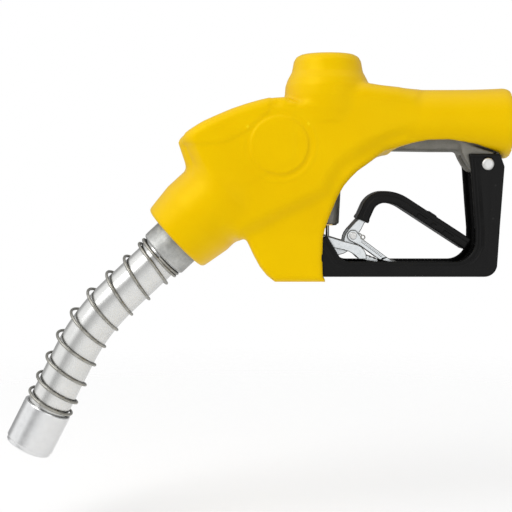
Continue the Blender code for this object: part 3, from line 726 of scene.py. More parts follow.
def band(path, low, high):
    """The outline of a strip along a 2-D path, from one offset on its left side to another."""
    sides = ([], [])
    for index, point in enumerate(path):
        ahead = path[min(index + 1, len(path) - 1)]
        behind = path[max(index - 1, 0)]
        along = (ahead - behind).normalized()
        left = Vector((-along.y, along.x))
        sides[0].append(tuple(point + left * low))
        sides[1].append(tuple(point + left * high))
    return sides[0] + sides[1][::-1]


# ---------------------------------------------------------------- scuff guard and casting

BODY_OUTLINE = [
    (-205, 2), (-190, 6), (-178, 6), (-165, 9.5), (-150, 14), (-139, 17.5), (-122, 25),
    (-108.5, 26.2), (-97, 24.4), (-84, 23.2), (-70, 20), (-60, 0), (-72, -10), (-84, -14.2),
    (-95, -18), (-106.5, -22.8), (-117.5, -29.4), (-124, -35.6), (-128.6, -42), (-133, -53), (-160, -66), (-196, -84),
    (-210, -76), (-226, -46), (-222, -12),
]
HOOD_OUTLINE = [
    (-237, -32.2), (-241.6, -15.4), (-239, -12.6), (-231.5, -8.2), (-220.8, -1.8), (-210.8, 2.7),
    (-201, 6.8), (-191.3, 10.1), (-181.5, 12.9), (-171.8, 15.1), (-161, 15.8), (-154, 13),
    (-154, -30), (-190, -50), (-226, -45),
]
LOWER_OUTLINE = [
    (-160, -20), (-100, -14), (-78, -10), (-74, -15.4), (-83.8, -18.7), (-93.7, -21.6),
    (-103.7, -29), (-113.3, -35.8), (-118.2, -40.6), (-122.9, -46.2), (-127.3, -54.4), (-131.4, -65.1),
    (-134.5, -74.3), (-136.2, -82.6), (-137, -96.8), (-136.4, -107.6), (-135.4, -113.8), (-171, -113.8),
    (-176.6, -109.4), (-181.5, -103.4), (-185.8, -95.5), (-191.4, -83.5), (-193.5, -79.5), (-186, -50),
]
HUMP_PROFILE = [
    (0, 0), (0, 27), (8, 28.8), (17, 29.4), (24, 28.9), (28.5, 27.4), (31.5, 25.8), (34, 24.4),
    (39, 23.4), (41.5, 23), (44.2, 21.4), (45.7, 18.6), (45.7, 0),
]
NOSE_PROFILE = [
    (-72, 0), (-72, 12), (-46, 27.6), (-18, 28), (-6, 26.3), (0.6, 25.3), (0.6, 0),
]
SHOULDER = [(-163, 11), (-158, 11.9), (-136, 17.5), (-110, 40), (-160, 40)]
FRONT_EDGE = [
    (-229, 20), (-227.7, -13), (-223.2, -24.1), (-218.4, -33.8), (-214.2, -42.2), (-213.2, -56),
    (-213.2, -140), (60, -140), (60, 20),
]


def covered_field(grid, handle_end):
    """Distance to the scuff guard's outside, negative inside the nozzle's body."""
    flare = (np.maximum(np.minimum(grid.x, -6.0) + 60.0, 0.0) / 54.0) ** 3
    handle_r = HANDLE_R + (1.2 + 2.0 * clamp(-grid.z / 20.0)) * flare
    out = np.sqrt(grid.y ** 2 + (grid.z + 1.0) ** 2)
    handle = rounded_meet(out - handle_r, np.abs(grid.x - (handle_end - 62.0)) - 62.0, 10.0)
    hump = turned_field(grid, HUMP, AXIS_Z, HUMP_PROFILE, 1.0)
    sink = clamp((grid.x + 118.0) / 54.0)
    crown = UPPER_HALF_WIDTH - 2.6 * np.clip((grid.z + 25.0) / 60.0, -1.0, 1.0) ** 2 - 10.0 * sink ** 2
    rounding = 11.0 - 5.0 * clamp((grid.z + 2.0) / 8.0) * clamp((-135.0 - grid.x) / 12.0)
    body_flat = polygon_field(BODY_OUTLINE, grid.x, grid.z)
    body = rounded_meet(body_flat, np.abs(grid.y) - crown, rounding)
    q = np.minimum((grid.x + 200.0) * math.cos(TRIP_TILT) + grid.z * math.sin(TRIP_TILT), 0.0)
    plan = ((np.abs(q) / 45.0) ** 3.6 + (np.abs(grid.y) / 29.5) ** 3.6) ** (1.0 / 3.6)
    hood_flat = polygon_field(HOOD_OUTLINE, grid.x, grid.z)
    hood = rounded_meet(hood_flat, np.maximum((plan - 1.0) * 30.0, np.abs(grid.y) - crown), 6.5)
    lower_half = LOWER_HALF_WIDTH + 3.6 * clamp((grid.z + 80.0) / 40.0) - 6.0 * sink
    lower = slab_field(grid, LOWER_OUTLINE, lower_half, 4.5)
    nose = turned_field(grid, NOSE + NOSE_UP * NOSE_RISE, NOSE_DIR, NOSE_PROFILE, 3.0)
    shape = smooth_min(body, hood, 1.6)
    sides = beside(grid, 12.0, 6.0)
    shape = shape + sides * clamp(0.5 - polygon_field(SHOULDER, grid.x, grid.z) / 2.6)
    shape = smooth_min(shape, handle, 5.0)
    shape = smooth_min(shape, hump, 3.0)
    front = np.clip(polygon_field(FRONT_EDGE, grid.x, grid.z), 0.0, 7.0)
    fade = clamp((grid.z + 62.0) / 12.0) * clamp((-9.0 - grid.z) / 8.0)
    shape = shape + 0.38 * front * fade * sides
    shape = smooth_min(shape, nose, 6.0)
    return smooth_min(shape, lower, 5.0)


HANDLE_GAP = [
    (-99, -60), (-92.6, -27), (-88.4, -21.6), (-83.8, -19), (-73.5, -16), (-63.9, -14.2), (-49.4, -13.8),
    (-39.6, -15.2), (-29.6, -17), (-19.3, -20.4), (-13.7, -22.4), (-9.4, -25.4), (-8.4, -27.5), (-8.4, -60),
]
REAR_GAP = [
    (-172, -110.7), (-90, -110.7), (-90, -49), (-150, -49), (-150, -100), (-172, -100),
]
HOOD_SIDE = [
    (-250, -18), (-216, -17), (-203.8, -15.7), (-190.6, -8.1), (-175.3, 5.1), (-172, 30), (-250, 30),
]


def surface_details(grid):
    """How far the skin stands out: the round pad on each side, its ring, the hood and a pocket."""
    from_pad = np.sqrt((grid.x - PAD_CENTRE[0]) ** 2 + (grid.z - PAD_CENTRE[1]) ** 2)
    pad = clamp((20.6 - from_pad) / 1.1)
    towards_tail = clamp((grid.x - PAD_CENTRE[0] - 0.6 * (grid.z - PAD_CENTRE[1])) / 20.0)
    groove = -0.45 * towards_tail * np.exp(-((from_pad - 22.4) / 1.1) ** 2)
    ring = (0.2 + 0.25 * towards_tail) * np.exp(-((from_pad - 25.0) / 1.0) ** 2)
    sides = beside(grid, 14.0, 5.0)
    pocket = -1.1 * np.exp(-(((grid.x + 170.0) / 4.2) ** 2) - ((grid.z - 10.4) / 2.2) ** 2)
    hood_step = polygon_field(HOOD_SIDE, grid.x, grid.z)
    raised = 0.8 * clamp(0.5 - hood_step / 2.4)
    return (pad + ring + groove + raised) * sides + pocket * beside(grid, 8.0, 5.0)


def scuff_guard_skin():
    grid = Grid((-262.0, -33.4, -117.0), (3.0, 33.2, 53.0), 1.1)
    outer = covered_field(grid, 0.0)
    hollow = covered_field(grid, 12.0) + SKIN
    outer = outer - surface_details(grid)
    shell = smooth_max(outer, -hollow, 0.8)
    handle_gap = slab_field(grid, HANDLE_GAP, 60.0, 0.5)
    shell = smooth_max(shell, -handle_gap, 1.2)
    shell = smooth_max(shell, 0.4 - lug_field(grid), 0.5)
    shell = smooth_max(shell, -slab_field(grid, REAR_GAP, 18.3, 0.3), 1.0)
    collar_hole = rod_field(grid, NOSE, NOSE_DIR, -12.0, 20.0, COLLAR_R + 0.25)
    shell = smooth_max(shell, -collar_hole, 1.2)
    made = shaped("scuff_guard_skin", grid, shell, YELLOW)
    fit(made, "nozzle_body", "scuff_guard")


def lug_field(grid):
    """The forked lug under the handle that the lever guard is riveted to."""
    lug = [
        (-41, -15), (-39.6, -23), (-37.8, -27), (-35.2, -31.6), (-32.4, -35), (-30, -36.4),
        (-18, -36.4), (-17, -22.6), (-30, -18.6),
    ]
    between = [(-60, -60), (-26, -60), (-26, -23.5), (-60, -23.5)]
    return smooth_max(slab_field(grid, lug, 15.2, 1.2), -slab_field(grid, between, 5.0, 0.5), 1.0)


def casting_field(grid):
    """The body casting: the covered shape under the skin, with its bosses, lugs and cavities."""
    shape = covered_field(grid, -0.4) + SKIN + 0.7
    below = [(-196, -73), (-60, -73), (-60, -140), (-196, -140)]
    shape = smooth_max(shape, -slab_field(grid, below, 60.0, 0.0), 2.0)
    shape = np.maximum(shape, -rod_field(grid, VALVE, AXIS_Z, 36.0, 70.0, 40.0))
    shape = np.maximum(shape, -rod_field(grid, PIVOT, TRIP_DIR, -140.0, -91.2, 33.5))
    leg = [(-186, -60), (-172.5, -60), (-171, -104), (-174, -106), (-179.5, -99), (-184, -90)]
    shape = smooth_min(shape, slab_field(grid, leg, 15.6, 1.0), 2.0)
    below_handle = [(-88, -20.8), (-60, -21.6), (-36, -21.6), (-36, -12), (-88, -12)]
    shape = smooth_min(shape, slab_field(grid, below_handle, 12.0, 3.0), 3.0)
    shape = smooth_min(shape, lug_field(grid), 4.0)
    ledge = [(-38, -22.9), (-9, -22.9), (-9, -14), (-38, -14)]
    shape = smooth_min(shape, slab_field(grid, ledge, 9.6, 1.0), 2.0)
    boss = turned_field(
        grid, VALVE, AXIS_Z, [(-74.0, 0.0), (-74.0, 6.6), (-72.8, 7.8), (-45.0, 9.2), (-45.0, 0.0)], 0.4
    )
    return smooth_min(shape, boss, 2.0)


def body_casting_skin():
    grid = Grid((-258.0, -31.0, -109.0), (2.0, 31.0, 42.0), 1.25)
    shape = casting_field(grid)
    trip_boss = rod_field(grid, PIVOT, TRIP_DIR, -96.0, -25.0, 10.5)
    flow = rod_field(grid, VALVE, AXIS_Z, -16.0, 60.0, 19.0)
    for start, direction, begin, end, radius in (
        (VALVE, AXIS_Z, 34.0, 60.0, 21.4), (Vector(), AXIS_X, VALVE.x, 5.0, 13.0),
        (Vector(), AXIS_X, -31.0, 5.0, 15.8), (VALVE, AXIS_Z, -47.0, -15.0, 12.0),
        (Vector((0.0, 0.0, -33.5)), AXIS_X, -186.0, VALVE.x, 11.5), (NOSE, NOSE_DIR, -76.0, 20.0, 17.0),
    ):
        flow = np.minimum(flow, rod_field(grid, start, direction, begin, end, radius))
    shape = np.maximum(shape, -np.maximum(flow, -trip_boss))
    for start, direction, begin, end, radius in (
        (PIVOT, TRIP_DIR, -95.0, -84.0, 15.0), (PIVOT, TRIP_DIR, -84.5, -45.0, 6.0),
        (PIVOT, TRIP_DIR, -63.5, -52.0, 7.2), (PIVOT, TRIP_DIR, -46.0, -10.0, 8.7),
        (VALVE, AXIS_Z, -80.0, -52.0, 6.7), (VALVE, AXIS_Z, -53.0, -40.0, 3.5),
        (GUARD_RIVET, AXIS_Y, -30.0, 30.0, 2.8), (FRONT_PIN, AXIS_Y, -30.0, 30.0, 2.5),
    ):
        shape = np.maximum(shape, -rod_field(grid, start, direction, begin, end, radius))
    made = shaped("body_casting_skin", grid, shape, CAST)
    fit(made, "nozzle_body", "body_casting")


# ---------------------------------------------------------------- spout

def spout_frame(along):
    """The spout centreline's point and direction at a distance from the scuff guard's nose."""
    radius = (BEND_END - BEND_START) / BEND_ANGLE
    turned_by = BEND_ANGLE * min(max((along - BEND_START) / (BEND_END - BEND_START), 0.0), 1.0)
    tilt = math.atan2(-NOSE_DIR.x, -NOSE_DIR.z) - turned_by
    direction = Vector((-math.sin(tilt), 0.0, -math.cos(tilt)))
    centre = NOSE + NOSE_DIR * min(along, BEND_START) - NOSE_UP * radius
    on_arc = centre + Vector((-math.cos(tilt), 0.0, math.sin(tilt))) * radius
    return on_arc + direction * max(along - BEND_END, 0.0), direction


def spout_pieces():
    collar = [
        (COLLAR_OUT, 15.5), (COLLAR_OUT, 17.6), (COLLAR_OUT - 0.25, 18.1), (COLLAR_OUT - 1.4, COLLAR_R),
        (COLLAR_OUT - 6.0, COLLAR_R + 0.05), (0.0, COLLAR_R), (-1.3, COLLAR_R), (-1.3, 16.7), (-24.0, 16.7),
        (-24, 12), (-14, 12), (-14, 15.5),
    ]
    made = turned("spout_collar", NOSE, NOSE_DIR, collar, COLLAR)
    fit(made, "nozzle_body", "spout_bushing")
    tube_pipe()
    ferrule()
    anchor_spring()


def tube_pipe():
    """The bent tube, open at both ends, its rings following the centreline."""
    steps, sides = 70, 96
    begin, end = -13.5, 187.0
    points, faces = [], []
    loops = []
    outline = [(begin + (end - begin) * step / steps, TUBE_R) for step in range(steps + 1)]
    outline += [(end - (end - begin) * step / steps, TUBE_R - 1.6) for step in range(steps + 1)]
    for along, radius in outline:
        centre, direction = spout_frame(along)
        loops.append(len(points))
        points += ring(centre, upwards(direction), AXIS_Y, radius, sides)
    for a, b in zip(loops, loops[1:] + loops[:1]):
        faces += between_rings(a, b, sides)
    made = outwards(add_mesh("spout_pipe", points, faces, TUBE), 40.0)
    fit(made, "nozzle_body", "spout_tube")


def ferrule():
    start, direction = spout_frame(FERRULE_START)
    profile = [
        (0, 15.5), (0, 16.9), (0.2, 17.35), (0.8, FERRULE_R), (15, FERRULE_R), (29.4, FERRULE_R),
        (29.75, 17.45), (29.95, 16.95), (30.3, 16.85), (32, 16.85), (32.7, 16.5), (33, 15.9), (33, 14.2),
        (32.8, 13.6), (32.2, 13.4), (30.6, 13.4), (30.6, 15.5),
    ]
    made = turned("spout_tip_ferrule", start, direction, profile, POLISHED, 128, 25.0)
    fit(made, "nozzle_body", "spout_ferrule")


SPRING_STATIONS = [19.8, 21.4, 26.3, 43.4, 60.3, 77.8, 94.7, 111.9, 128.4, 143.8, 155.4, 157.0]


def anchor_spring():
    """The coil around the spout: turn n crosses the near side at station n, its end turns closed."""
    per_turn = 64
    turns = len(SPRING_STATIONS) - 1
    path = []
    for step in range(turns * per_turn - per_turn // 3):
        turn = step / per_turn
        index = min(int(turn), turns - 1)
        part = turn - index
        along = SPRING_STATIONS[index] * (1.0 - part) + SPRING_STATIONS[index + 1] * part
        centre, direction = spout_frame(along)
        up = upwards(direction)
        bow = 1.2 * math.exp(-((along - 85.0) / 38.0) ** 2)
        angle = 2 * math.pi * turn + 0.5 * math.pi
        out = up * math.cos(angle) - AXIS_Y * math.sin(angle)
        path.append(centre + up * bow + out * 17.2)
    made = swept("spout_anchor_spring", path, 1.05, WIRE, 12)
    fit(made, "nozzle_body", "spout_spring")


# ---------------------------------------------------------------- lever guard

LEVER_GUARD_OUTER = [
    (-176, -101.5), (-172.5, -107), (-169.5, -109.9), (-137.5, -110), (-136.5, -110.3),
    *arc((-23.1, -101.3), 9.0, -90.0, -6.0, 10), (-12.7, -76.0), (-9.9, -32.6), (-13.2, -23.6),
]
LEVER_GUARD_INNER = [
    (-35.2, -23.6), (-33.8, -34.0), (-31.5, -62.0), (-30.2, -76.0), *arc((-44.2, -85.3), 14.0, 0.0, -90.0, 12),
    (-119.4, -99.3), (-121.6, -98.9), (-123.6, -97.7), (-125.4, -96.1), (-134.4, -81), (-150, -89.5),
    (-181.0, -91.0),
]


def lever_guard_skin():
    grid = Grid((-184.0, -19.5, -113.0), (-3.0, 19.5, -21.0), 0.75)
    flat = polygon_field(LEVER_GUARD_OUTER + LEVER_GUARD_INNER, grid.x, grid.z)
    outer_edge = polygon_field(LEVER_GUARD_OUTER + [(-13.2, 60.0), (-240.0, 60.0), (-240.0, -101.0)], grid.x, grid.z)
    solid = rounded_meet(flat, np.abs(grid.y) - LEVER_GUARD_HALF_WIDTH, 1.3)
    hollow = np.maximum(outer_edge + LEVER_GUARD_WALL, np.abs(grid.y) - (LEVER_GUARD_HALF_WIDTH - LEVER_GUARD_WALL))
    shape = smooth_max(solid, -hollow, 1.0)
    from_inner = -flat
    bead = 0.5 * np.exp(-((from_inner - 1.3) / 1.0) ** 2) + 0.35 * np.exp(-((from_inner - 6.6) / 1.3) ** 2)
    valley = 0.7 * np.exp(-((from_inner - 3.9) / 1.5) ** 2)
    inner_side = clamp((-outer_edge - 6.0) / 4.0)
    sides = beside(grid, 15.0, 2.0)
    shape = shape - (bead - valley) * inner_side * sides
    for start, radius in ((GUARD_RIVET, 2.9), (FRONT_PIN, 2.5), (RACK_RIVET, 2.3)):
        centre = Vector((start.x, 0.0, start.z))
        shape = np.maximum(shape, -rod_field(grid, centre, AXIS_Y, -30.0, 30.0, radius))
    made = shaped("lever_guard_skin", grid, shape, BLACK)
    fit(made, "nozzle_body", "lever_guard")


def rivet(name, node, centre, half_length, head_r, head_height, shank_r, body, material):
    """A domed rivet across Y with a dimple in each head."""
    inner, outer = half_length - head_height, half_length
    half = [
        (inner, shank_r), (inner, head_r - 0.2), (inner + 0.15 * head_height, head_r),
        (inner + 0.45 * head_height, head_r * 0.97), (inner + 0.8 * head_height, head_r * 0.82),
        (outer, head_r * 0.55), (outer, head_r * 0.2), (outer - 0.15, 0.0),
    ]
    profile = [(-a, r) for a, r in reversed(half)] + half
    made = turned(name, Vector((centre.x, 0.0, centre.z)), AXIS_Y, profile, material, 48, 50.0)
    fit(made, body, node)


# ---------------------------------------------------------------- lever, grip, clip and rack

LEVER_PATH = [
    Vector(point) for point in [
        (-109.0, -70.6), *arc((-93.6, -66.4), 12.4, 156.0, 90.0, 14),
        *arc((-93.6, -80.0), 26.0, 90.0, 57.1, 8)[1:], (-36.5, -86.0),
    ]
]
CHEEK = [
    (-111.4, -69.6), (-113.6, -71.2), (-118.8, -77), (-120.6, -79.6), (-121.7, -82.4), (-122.1, -84.8),
    (-129.0, -86.2), (-150.0, -88.2), *arc((PIVOT.x, PIVOT.z), 6.0, 80.0, 290.0, 16), (-140.0, -97.5),
    (-127.2, -95.6), (-122.0, -94.0), (-119.2, -92.4), *arc((CLIP_RIVET.x, CLIP_RIVET.z), 4.8, -50.0, 25.0, 8),
    (-109.8, -77), (-107.6, -72.6), (-106.4, -71.4), (-104.4, -66.4), (-107.6, -65),
]
CHEEK_FRONT = [Vector(point) for point in [(-111.4, -69.8), (-113.1, -71.7), (-117.6, -76.8)]]


def lever_pieces():
    cheeks = both_sides("lever_cheek", CHEEK, CHEEK_OUT - PLATE, CHEEK_OUT)
    web = plate("lever_front_web", band(CHEEK_FRONT, -0.75, 0.75), -CHEEK_OUT + 0.2, CHEEK_OUT - 0.2, 0.25)
    channel = lever_channel()
    bridge = plate(
        "lever_bridge", [(-136.5, -88.6), (-130.0, -88.6), (-130.0, -84.4), (-136.5, -84.4)],
        -CHEEK_OUT + 0.3, CHEEK_OUT - 0.3, 0.5,
    )
    for piece in (*cheeks, web, channel, bridge):
        fit(piece, "lever_body")
    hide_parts("lever")
    rivet("clip_rivet_head", "clip_rivet", CLIP_RIVET, 13.8, 2.6, 0.6, 2.0, "lever_body", RIVET)


def lever_channel():
    """The channel inside the grip, open below."""
    grid = Grid((-113.0, -13.0, -94.0), (-32.0, 13.0, -48.0), 0.6)
    outer = slab_field(grid, band(LEVER_PATH, -STRAP_HALF, STRAP_HALF), CHEEK_OUT - 0.1, 0.5)
    inner = band(extended(LEVER_PATH, 8.0, 3.0), -4.2, STRAP_HALF - PLATE)
    groove = slab_field(grid, inner, CHEEK_OUT - PLATE, 0.3)
    return shaped("lever_channel", grid, np.maximum(outer, -groove), ZINC)


def lever_grip_skin():
    """The dipped grip: a tight sleeve with a thicker lip, slots below, end ribs and a pad on top."""
    grid = Grid((-117.0, -15.5, -97.0), (-29.0, 15.5, -46.0), 0.6)
    outer = slab_field(grid, band(extended(LEVER_PATH, 0.0, 3.0), -GRIP_HALF, GRIP_HALF), GRIP_HALF_WIDTH, 2.4)
    lip_path = [LEVER_PATH[0], LEVER_PATH[0] * 0.8 + LEVER_PATH[1] * 0.2]
    lip = slab_field(grid, band(lip_path, -GRIP_HALF - 0.3, GRIP_HALF + 0.3), GRIP_HALF_WIDTH + 0.2, 0.8)
    outer = smooth_min(outer, lip, 1.0)
    above = band(extended(LEVER_PATH, 1.0, 4.0), 0.9, 3.6)
    outer = smooth_max(outer, -np.maximum(slab_field(grid, above, 30.0, 0.4), 13.3 - np.abs(grid.y)), 0.5)
    along = (LEVER_PATH[-1] - LEVER_PATH[-2]).normalized()
    left = Vector((-along.y, along.x))

    def block(before_end, length, low, high):
        start = LEVER_PATH[-1] - along * before_end
        corners = ((0.0, low), (length, low), (length, high), (0.0, high))
        return [tuple(start + along * a + left * b) for a, b in corners]

    outer = smooth_min(outer, slab_field(grid, block(33.0, 7.0, 3.0, 5.2), 8.0, 0.9), 1.0)
    for before_end, length in ((39.0, 7.5), (27.0, 3.5), (17.0, 8.0)):
        slot = slab_field(grid, block(before_end, length, -3.0, -0.6), 20.0, 0.3)
        outer = smooth_max(outer, -np.maximum(slot, 12.9 - np.abs(grid.y)), 0.4)
    for before_end in (1.4, -0.6):
        outer = smooth_max(outer, -slab_field(grid, block(before_end, 0.7, -6.0, -0.5), 20.0, 0.1) - 0.35, 0.3)
    tunnel_half = STRAP_HALF + 0.2
    tunnel_path = band(extended(LEVER_PATH, 9.0, 0.5), -tunnel_half, tunnel_half)
    tunnel = slab_field(grid, tunnel_path, CHEEK_OUT + 0.15, 0.4)
    made = shaped("lever_grip_skin", grid, smooth_max(outer, -tunnel, 0.4), GRIP_BLACK)
    fit(made, "lever_body", "lever_grip")


RACK = [
    (-150, -88.5), (-141, -84), (-133.8, -81.6), (-122.4, -85.1), (-113.2, -87.5), (-110.2, -88.8),
    (-107.9, -91.2), (-106.6, -93.8), (-106.2, -97.8), (-111.6, -97.8), (-114.4, -95), (-118.4, -92.6),
    (-122, -91.4), (-125.7, -90.6), (-129.9, -89.8), (-134.5, -92.4), (-138.5, -96), (-150, -96.8),
]


def rack_pieces():
    sides = both_sides("hold_open_rack", RACK, RACK_INNER, RACK_OUTER)
    notches = []
    for index in range(3):
        left, top = -106.6 + 3.0 * index, -95.3 - 1.1 * index
        notches += [(left, top), (left + 2.3, top - 0.25)]
    strip = [(-111.6, -97.8), (-111.6, -96.7), (-107.9, -96.3), *notches, (-97.6, -98.8), (-98.4, -100.3)]
    tongue = plate("hold_open_rack_tongue", strip, -11.0, 11.0, 0.2)
    base = [(-111.6, -97.9), (-106.6, -97.9), (-106.6, -96.6), (-111.6, -96.6)]
    web = plate("hold_open_rack_web", base, -14.2, 14.2)
    for piece in (*sides, tongue, web):
        fit(piece, "nozzle_body")
    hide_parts("hold_open_rack")


def clip_pieces():
    """Two arms with a pressed rib, joined by a bar at the finger end."""
    head = arc((CLIP_RIVET.x, CLIP_RIVET.z), 4.1, 60.0, 240.0, 16)
    arm = [*head, (-112.4, -87.6), (-110.4, -88.6), (-97.1, -98.2), (-94.4, -98.6), (-91, -97), (-107.8, -84.5)]
    finger = [
        (-95, -96.6), (-96.2, -98.3), (-90.4, -99.9), (-85.6, -101), (-84.4, -99.7), (-88.6, -98.5),
        (-92.0, -96.2),
    ]
    pieces = both_sides("clip_arm", arm, CLIP_INNER, CLIP_OUTER)
    pieces.append(plate("clip_finger_bar", finger, -CLIP_OUTER, CLIP_OUTER, 0.25))
    for name, side in SIDES:
        start = Vector((-109.6, side * CLIP_OUTER, -85.4))
        end = Vector((-95.2, side * CLIP_OUTER, -96.1))
        path = [start.lerp(end, step / 12) for step in range(13)]
        pieces.append(swept(f"clip_rib_{name}", path, 0.55, ZINC, 10))
    for piece in pieces:
        fit(piece, "clip_body")
    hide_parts("hold_open_clip")


def clip_springs():
    for name, side in SIDES:
        centre = Vector((-108.7, 0.0, -82.4))
        path = []
        for step in range(5 * 24 + 1):
            turn = 2 * math.pi * step / 24
            y = side * (11.9 + 1.7 * step / 120)
            path.append(centre + Vector((1.45 * math.cos(turn), y, 1.45 * math.sin(turn))))
        made = swept(f"clip_coil_{name}", path, 0.36, WIRE, 8)
        fit(made, "lever_body", f"clip_spring_{name}")


# ---------------------------------------------------------------- carried-over CAD nodes

NODE_MATERIALS = {
    STEEL: ("latch_pin", "trip_plunger", "latch_ball_1", "latch_ball_2", "latch_ball_3", "lever_pin",
            "vent_tube"),
    ZINC: ("rack_rivet_near", "rack_rivet_far", "guard_front_pin", "plunger_retainer", "cover_screw_1",
           "cover_screw_2", "cover_screw_3", "cover_screw_4"),
    BRASS: ("inlet_strainer", "packing_nut", "main_poppet", "check_valve_seat", "check_valve"),
    RUBBER: ("spout_o_ring", "poppet_cap_seal", "stem_packing", "poppet_seal", "diaphragm"),
    CAST: ("poppet_cap", "diaphragm_cover"),
}


def dress_nodes():
    for material, names in NODE_MATERIALS.items():
        for name in names:
            node = frame["nodes"][name]
            node.data.materials.clear()
            node.data.materials.append(material)


def working_spring(node, start, direction, fixed, moving, radius, wire, turns):
    """A coil between two seats, its turns a little closer at its ends."""
    steps = int(turns * 32)
    path = []
    for step in range(steps + 1):
        share = step / steps
        closed = 0.5 - 0.5 * math.cos(math.pi * share)
        along = moving + (fixed - moving) * (0.75 * share + 0.25 * closed)
        turn = 2 * math.pi * turns * share
        centre, across = start + direction * along, direction.cross(AXIS_Y)
        path.append(centre + (across * math.cos(turn) + AXIS_Y * math.sin(turn)) * radius)
    inset = direction * (wire if fixed > moving else -wire)
    path = [point + inset * (1.0 - 2.0 * index / steps) for index, point in enumerate(path)]
    made = swept(f"{node}_coil", path, wire, WIRE, 8)
    fit(made, "nozzle_body", node)
    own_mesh(made)


def working_springs():
    pivot = Vector((PIVOT.x, 0.0, PIVOT.z))
    working_spring("poppet_spring", VALVE, AXIS_Z, 39.2, -7.6, 10.5, 1.0, 7.0)
    working_spring("check_valve_spring", NOSE, NOSE_DIR, -28.2, -42.3, 8.0, 0.8, 4.0)
    working_spring("diaphragm_spring", pivot, TRIP_DIR, -100.0, -95.6, 6.0, 0.45, 3.0)
    working_spring("plunger_spring", pivot, TRIP_DIR, -25.8, -42.5, 7.0, 0.6, 5.0)


def valve_stem():
    """The main valve's stem, stepped down to a thin foot where the lever lifts it."""
    low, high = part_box("main_stem")
    foot, head = (low[2] - INLET.z) / MM, (high[2] - INLET.z) / MM
    radius = (high[0] - low[0]) / MM / 2
    profile = [
        (foot, 0.0), (foot, 0.9), (foot + 0.4, 1.25), (-74.4, 1.25), (-73.6, radius - 0.2), (-73.2, radius),
        (head - 0.3, radius), (head, radius - 0.3), (head, 0.0),
    ]
    made = turned("valve_stem_rod", VALVE, AXIS_Z, profile, STEEL, 32)
    fit(made, "poppet_body", "main_stem")


def inlet_thread():
    """The female pipe thread cut in the inlet, as a helical ridge along its bore."""
    path = []
    for step in range(9 * 48 + 1):
        turn = 2 * math.pi * step / 48
        radius = 15.75 - 0.03 * step / 48
        path.append(Vector((-1.2 - 2.2 * step / 48, radius * math.cos(turn), radius * math.sin(turn))))
    made = swept("inlet_thread", path, 0.75, CAST, 6)
    fit(made, "nozzle_body")


# ---------------------------------------------------------------- studio

MIDDLE = Vector((-184.3, 0.0, -96.5))
VIEW_HALF_WIDTH = 0.1843
CAMERA_ANGLE = math.radians(26.0)
CAMERA_TILT = math.radians(3.5)
FLOOR_DROP = 0.06


def area_light(name, location, target, size, power):
    light = bpy.data.lights.new(name, "AREA")
    light.shape = "RECTANGLE"
    light.size, light.size_y = size
    light.energy = power
    made = placed(name, light)
    made.location = location
    made.rotation_euler = (Vector(target) - Vector(location)).to_track_quat("-Z", "Y").to_euler()


def studio_world():
    """A white room seen by the camera; what the object mirrors is a ring of soft boxes and dark flags."""
    world = bpy.data.worlds.new("studio")
    world.use_nodes = True
    room = Nodes(world.node_tree)
    place = room.node("ShaderNodeTexCoord").outputs["Generated"]
    x, y, z = room.node("ShaderNodeSeparateXYZ", Vector=place).outputs
    up_left = room.maths("ADD", room.maths("MULTIPLY", x, -0.6), room.maths("MULTIPLY", z, 0.8))
    turn = room.maths("ARCTAN2", up_left, room.maths("MULTIPLY", y, -1.0))
    share = room.maths("ADD", room.maths("MULTIPLY", turn, 0.5 / math.pi), 0.5)
    levels = [
        (-180, 0.42), (-120, 0.50), (-60, 0.62), (-15, 0.84), (4, 0.72), (17, 0.56), (30, 0.56),
        (46, 1.05), (105, 1.10), (132, 0.45), (180, 0.42),
    ]
    light = room.ramp(share, [(degrees / 360.0 + 0.5, (level,) * 3) for degrees, level in levels])
    lit = room.node("ShaderNodeBackground", Color=light)
    seen = room.tree.nodes["Background"]
    seen.inputs["Color"].default_value = (1.0, 1.0, 1.0, 1.0)
    mix = room.node("ShaderNodeMixShader")
    camera_ray = room.node("ShaderNodeLightPath").outputs["Is Camera Ray"]
    for socket, value in zip(mix.inputs, (camera_ray, lit.outputs[0], seen.outputs[0])):
        room.set(socket, value)
    room.set(room.tree.nodes["World Output"].inputs["Surface"], mix.outputs[0])
    bpy.context.scene.world = world


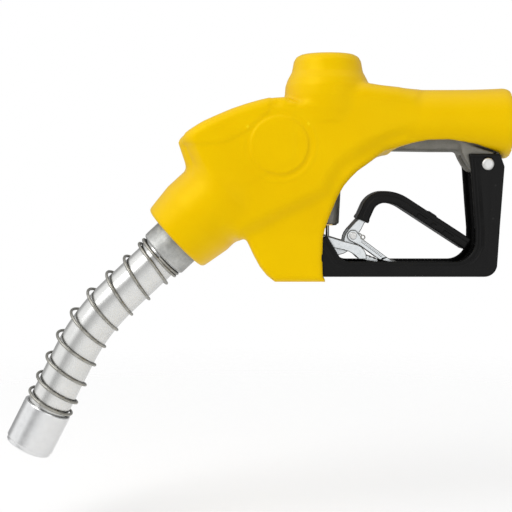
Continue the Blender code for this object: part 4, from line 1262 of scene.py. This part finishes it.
def studio_floor():
    """A pale floor under the nozzle that melts into the white room further out."""
    builder = bmesh.new()
    bmesh.ops.create_circle(builder, cap_ends=True, cap_tris=True, segments=96, radius=3.0)
    mesh = bpy.data.meshes.new("studio_floor")
    builder.to_mesh(mesh)
    builder.free()
    floor = placed("studio_floor", mesh)
    floor.location = (INLET.x + MIDDLE.x * MM, 0.0, cad_box[0][2] - FLOOR_DROP)
    shader = Shader("floor_paint")
    tone = shader.tone(shader.noise(3.0, 2.0, 0.5), (0.978, 0.978, 0.978), (0.986, 0.986, 0.986))
    distance = shader.node("ShaderNodeVectorMath", Vector=shader.place)
    distance.operation = "LENGTH"
    fade = shader.grey_ramp(distance.outputs["Value"], 1.0, 0.0, 0.05, 0.95)
    floor.data.materials.append(
        shader.done(
            Base_Color=tone, Roughness=0.9, Specular_IOR_Level=0.1, Alpha=fade,
            Emission_Color=(1.0, 1.0, 1.0, 1.0), Emission_Strength=0.06,
        )
    )


def studio():
    studio_world()
    studio_floor()
    target = MIDDLE * MM + INLET
    area_light("key", target + Vector((-0.8, -0.8, 0.9)), target, (0.8, 0.8), 6.5)
    area_light("fill", target + Vector((0.6, -1.2, 0.2)), target, (0.9, 0.9), 2.0)
    camera = bpy.data.cameras.new("camera")
    camera.angle = CAMERA_ANGLE
    made = placed("camera", camera)
    tilt = CAMERA_TILT
    away = VIEW_HALF_WIDTH / math.tan(camera.angle / 2)
    made.location = target + Vector((0.0, -math.cos(tilt), math.sin(tilt))) * away
    made.rotation_euler = (math.radians(90.0) - tilt, 0.0, 0.0)
    bpy.context.scene.camera = made
    bpy.context.scene.view_settings.view_transform = "Standard"


scuff_guard_skin()
body_casting_skin()
spout_pieces()
lever_guard_skin()
rivet("guard_rivet_head", "guard_rivet", GUARD_RIVET, 19.7, 4.3, 1.5, 2.5, "nozzle_body", RIVET)
lever_pieces()
lever_grip_skin()
rack_pieces()
clip_pieces()
clip_springs()
dress_nodes()
working_springs()
valve_stem()
inlet_thread()
studio()
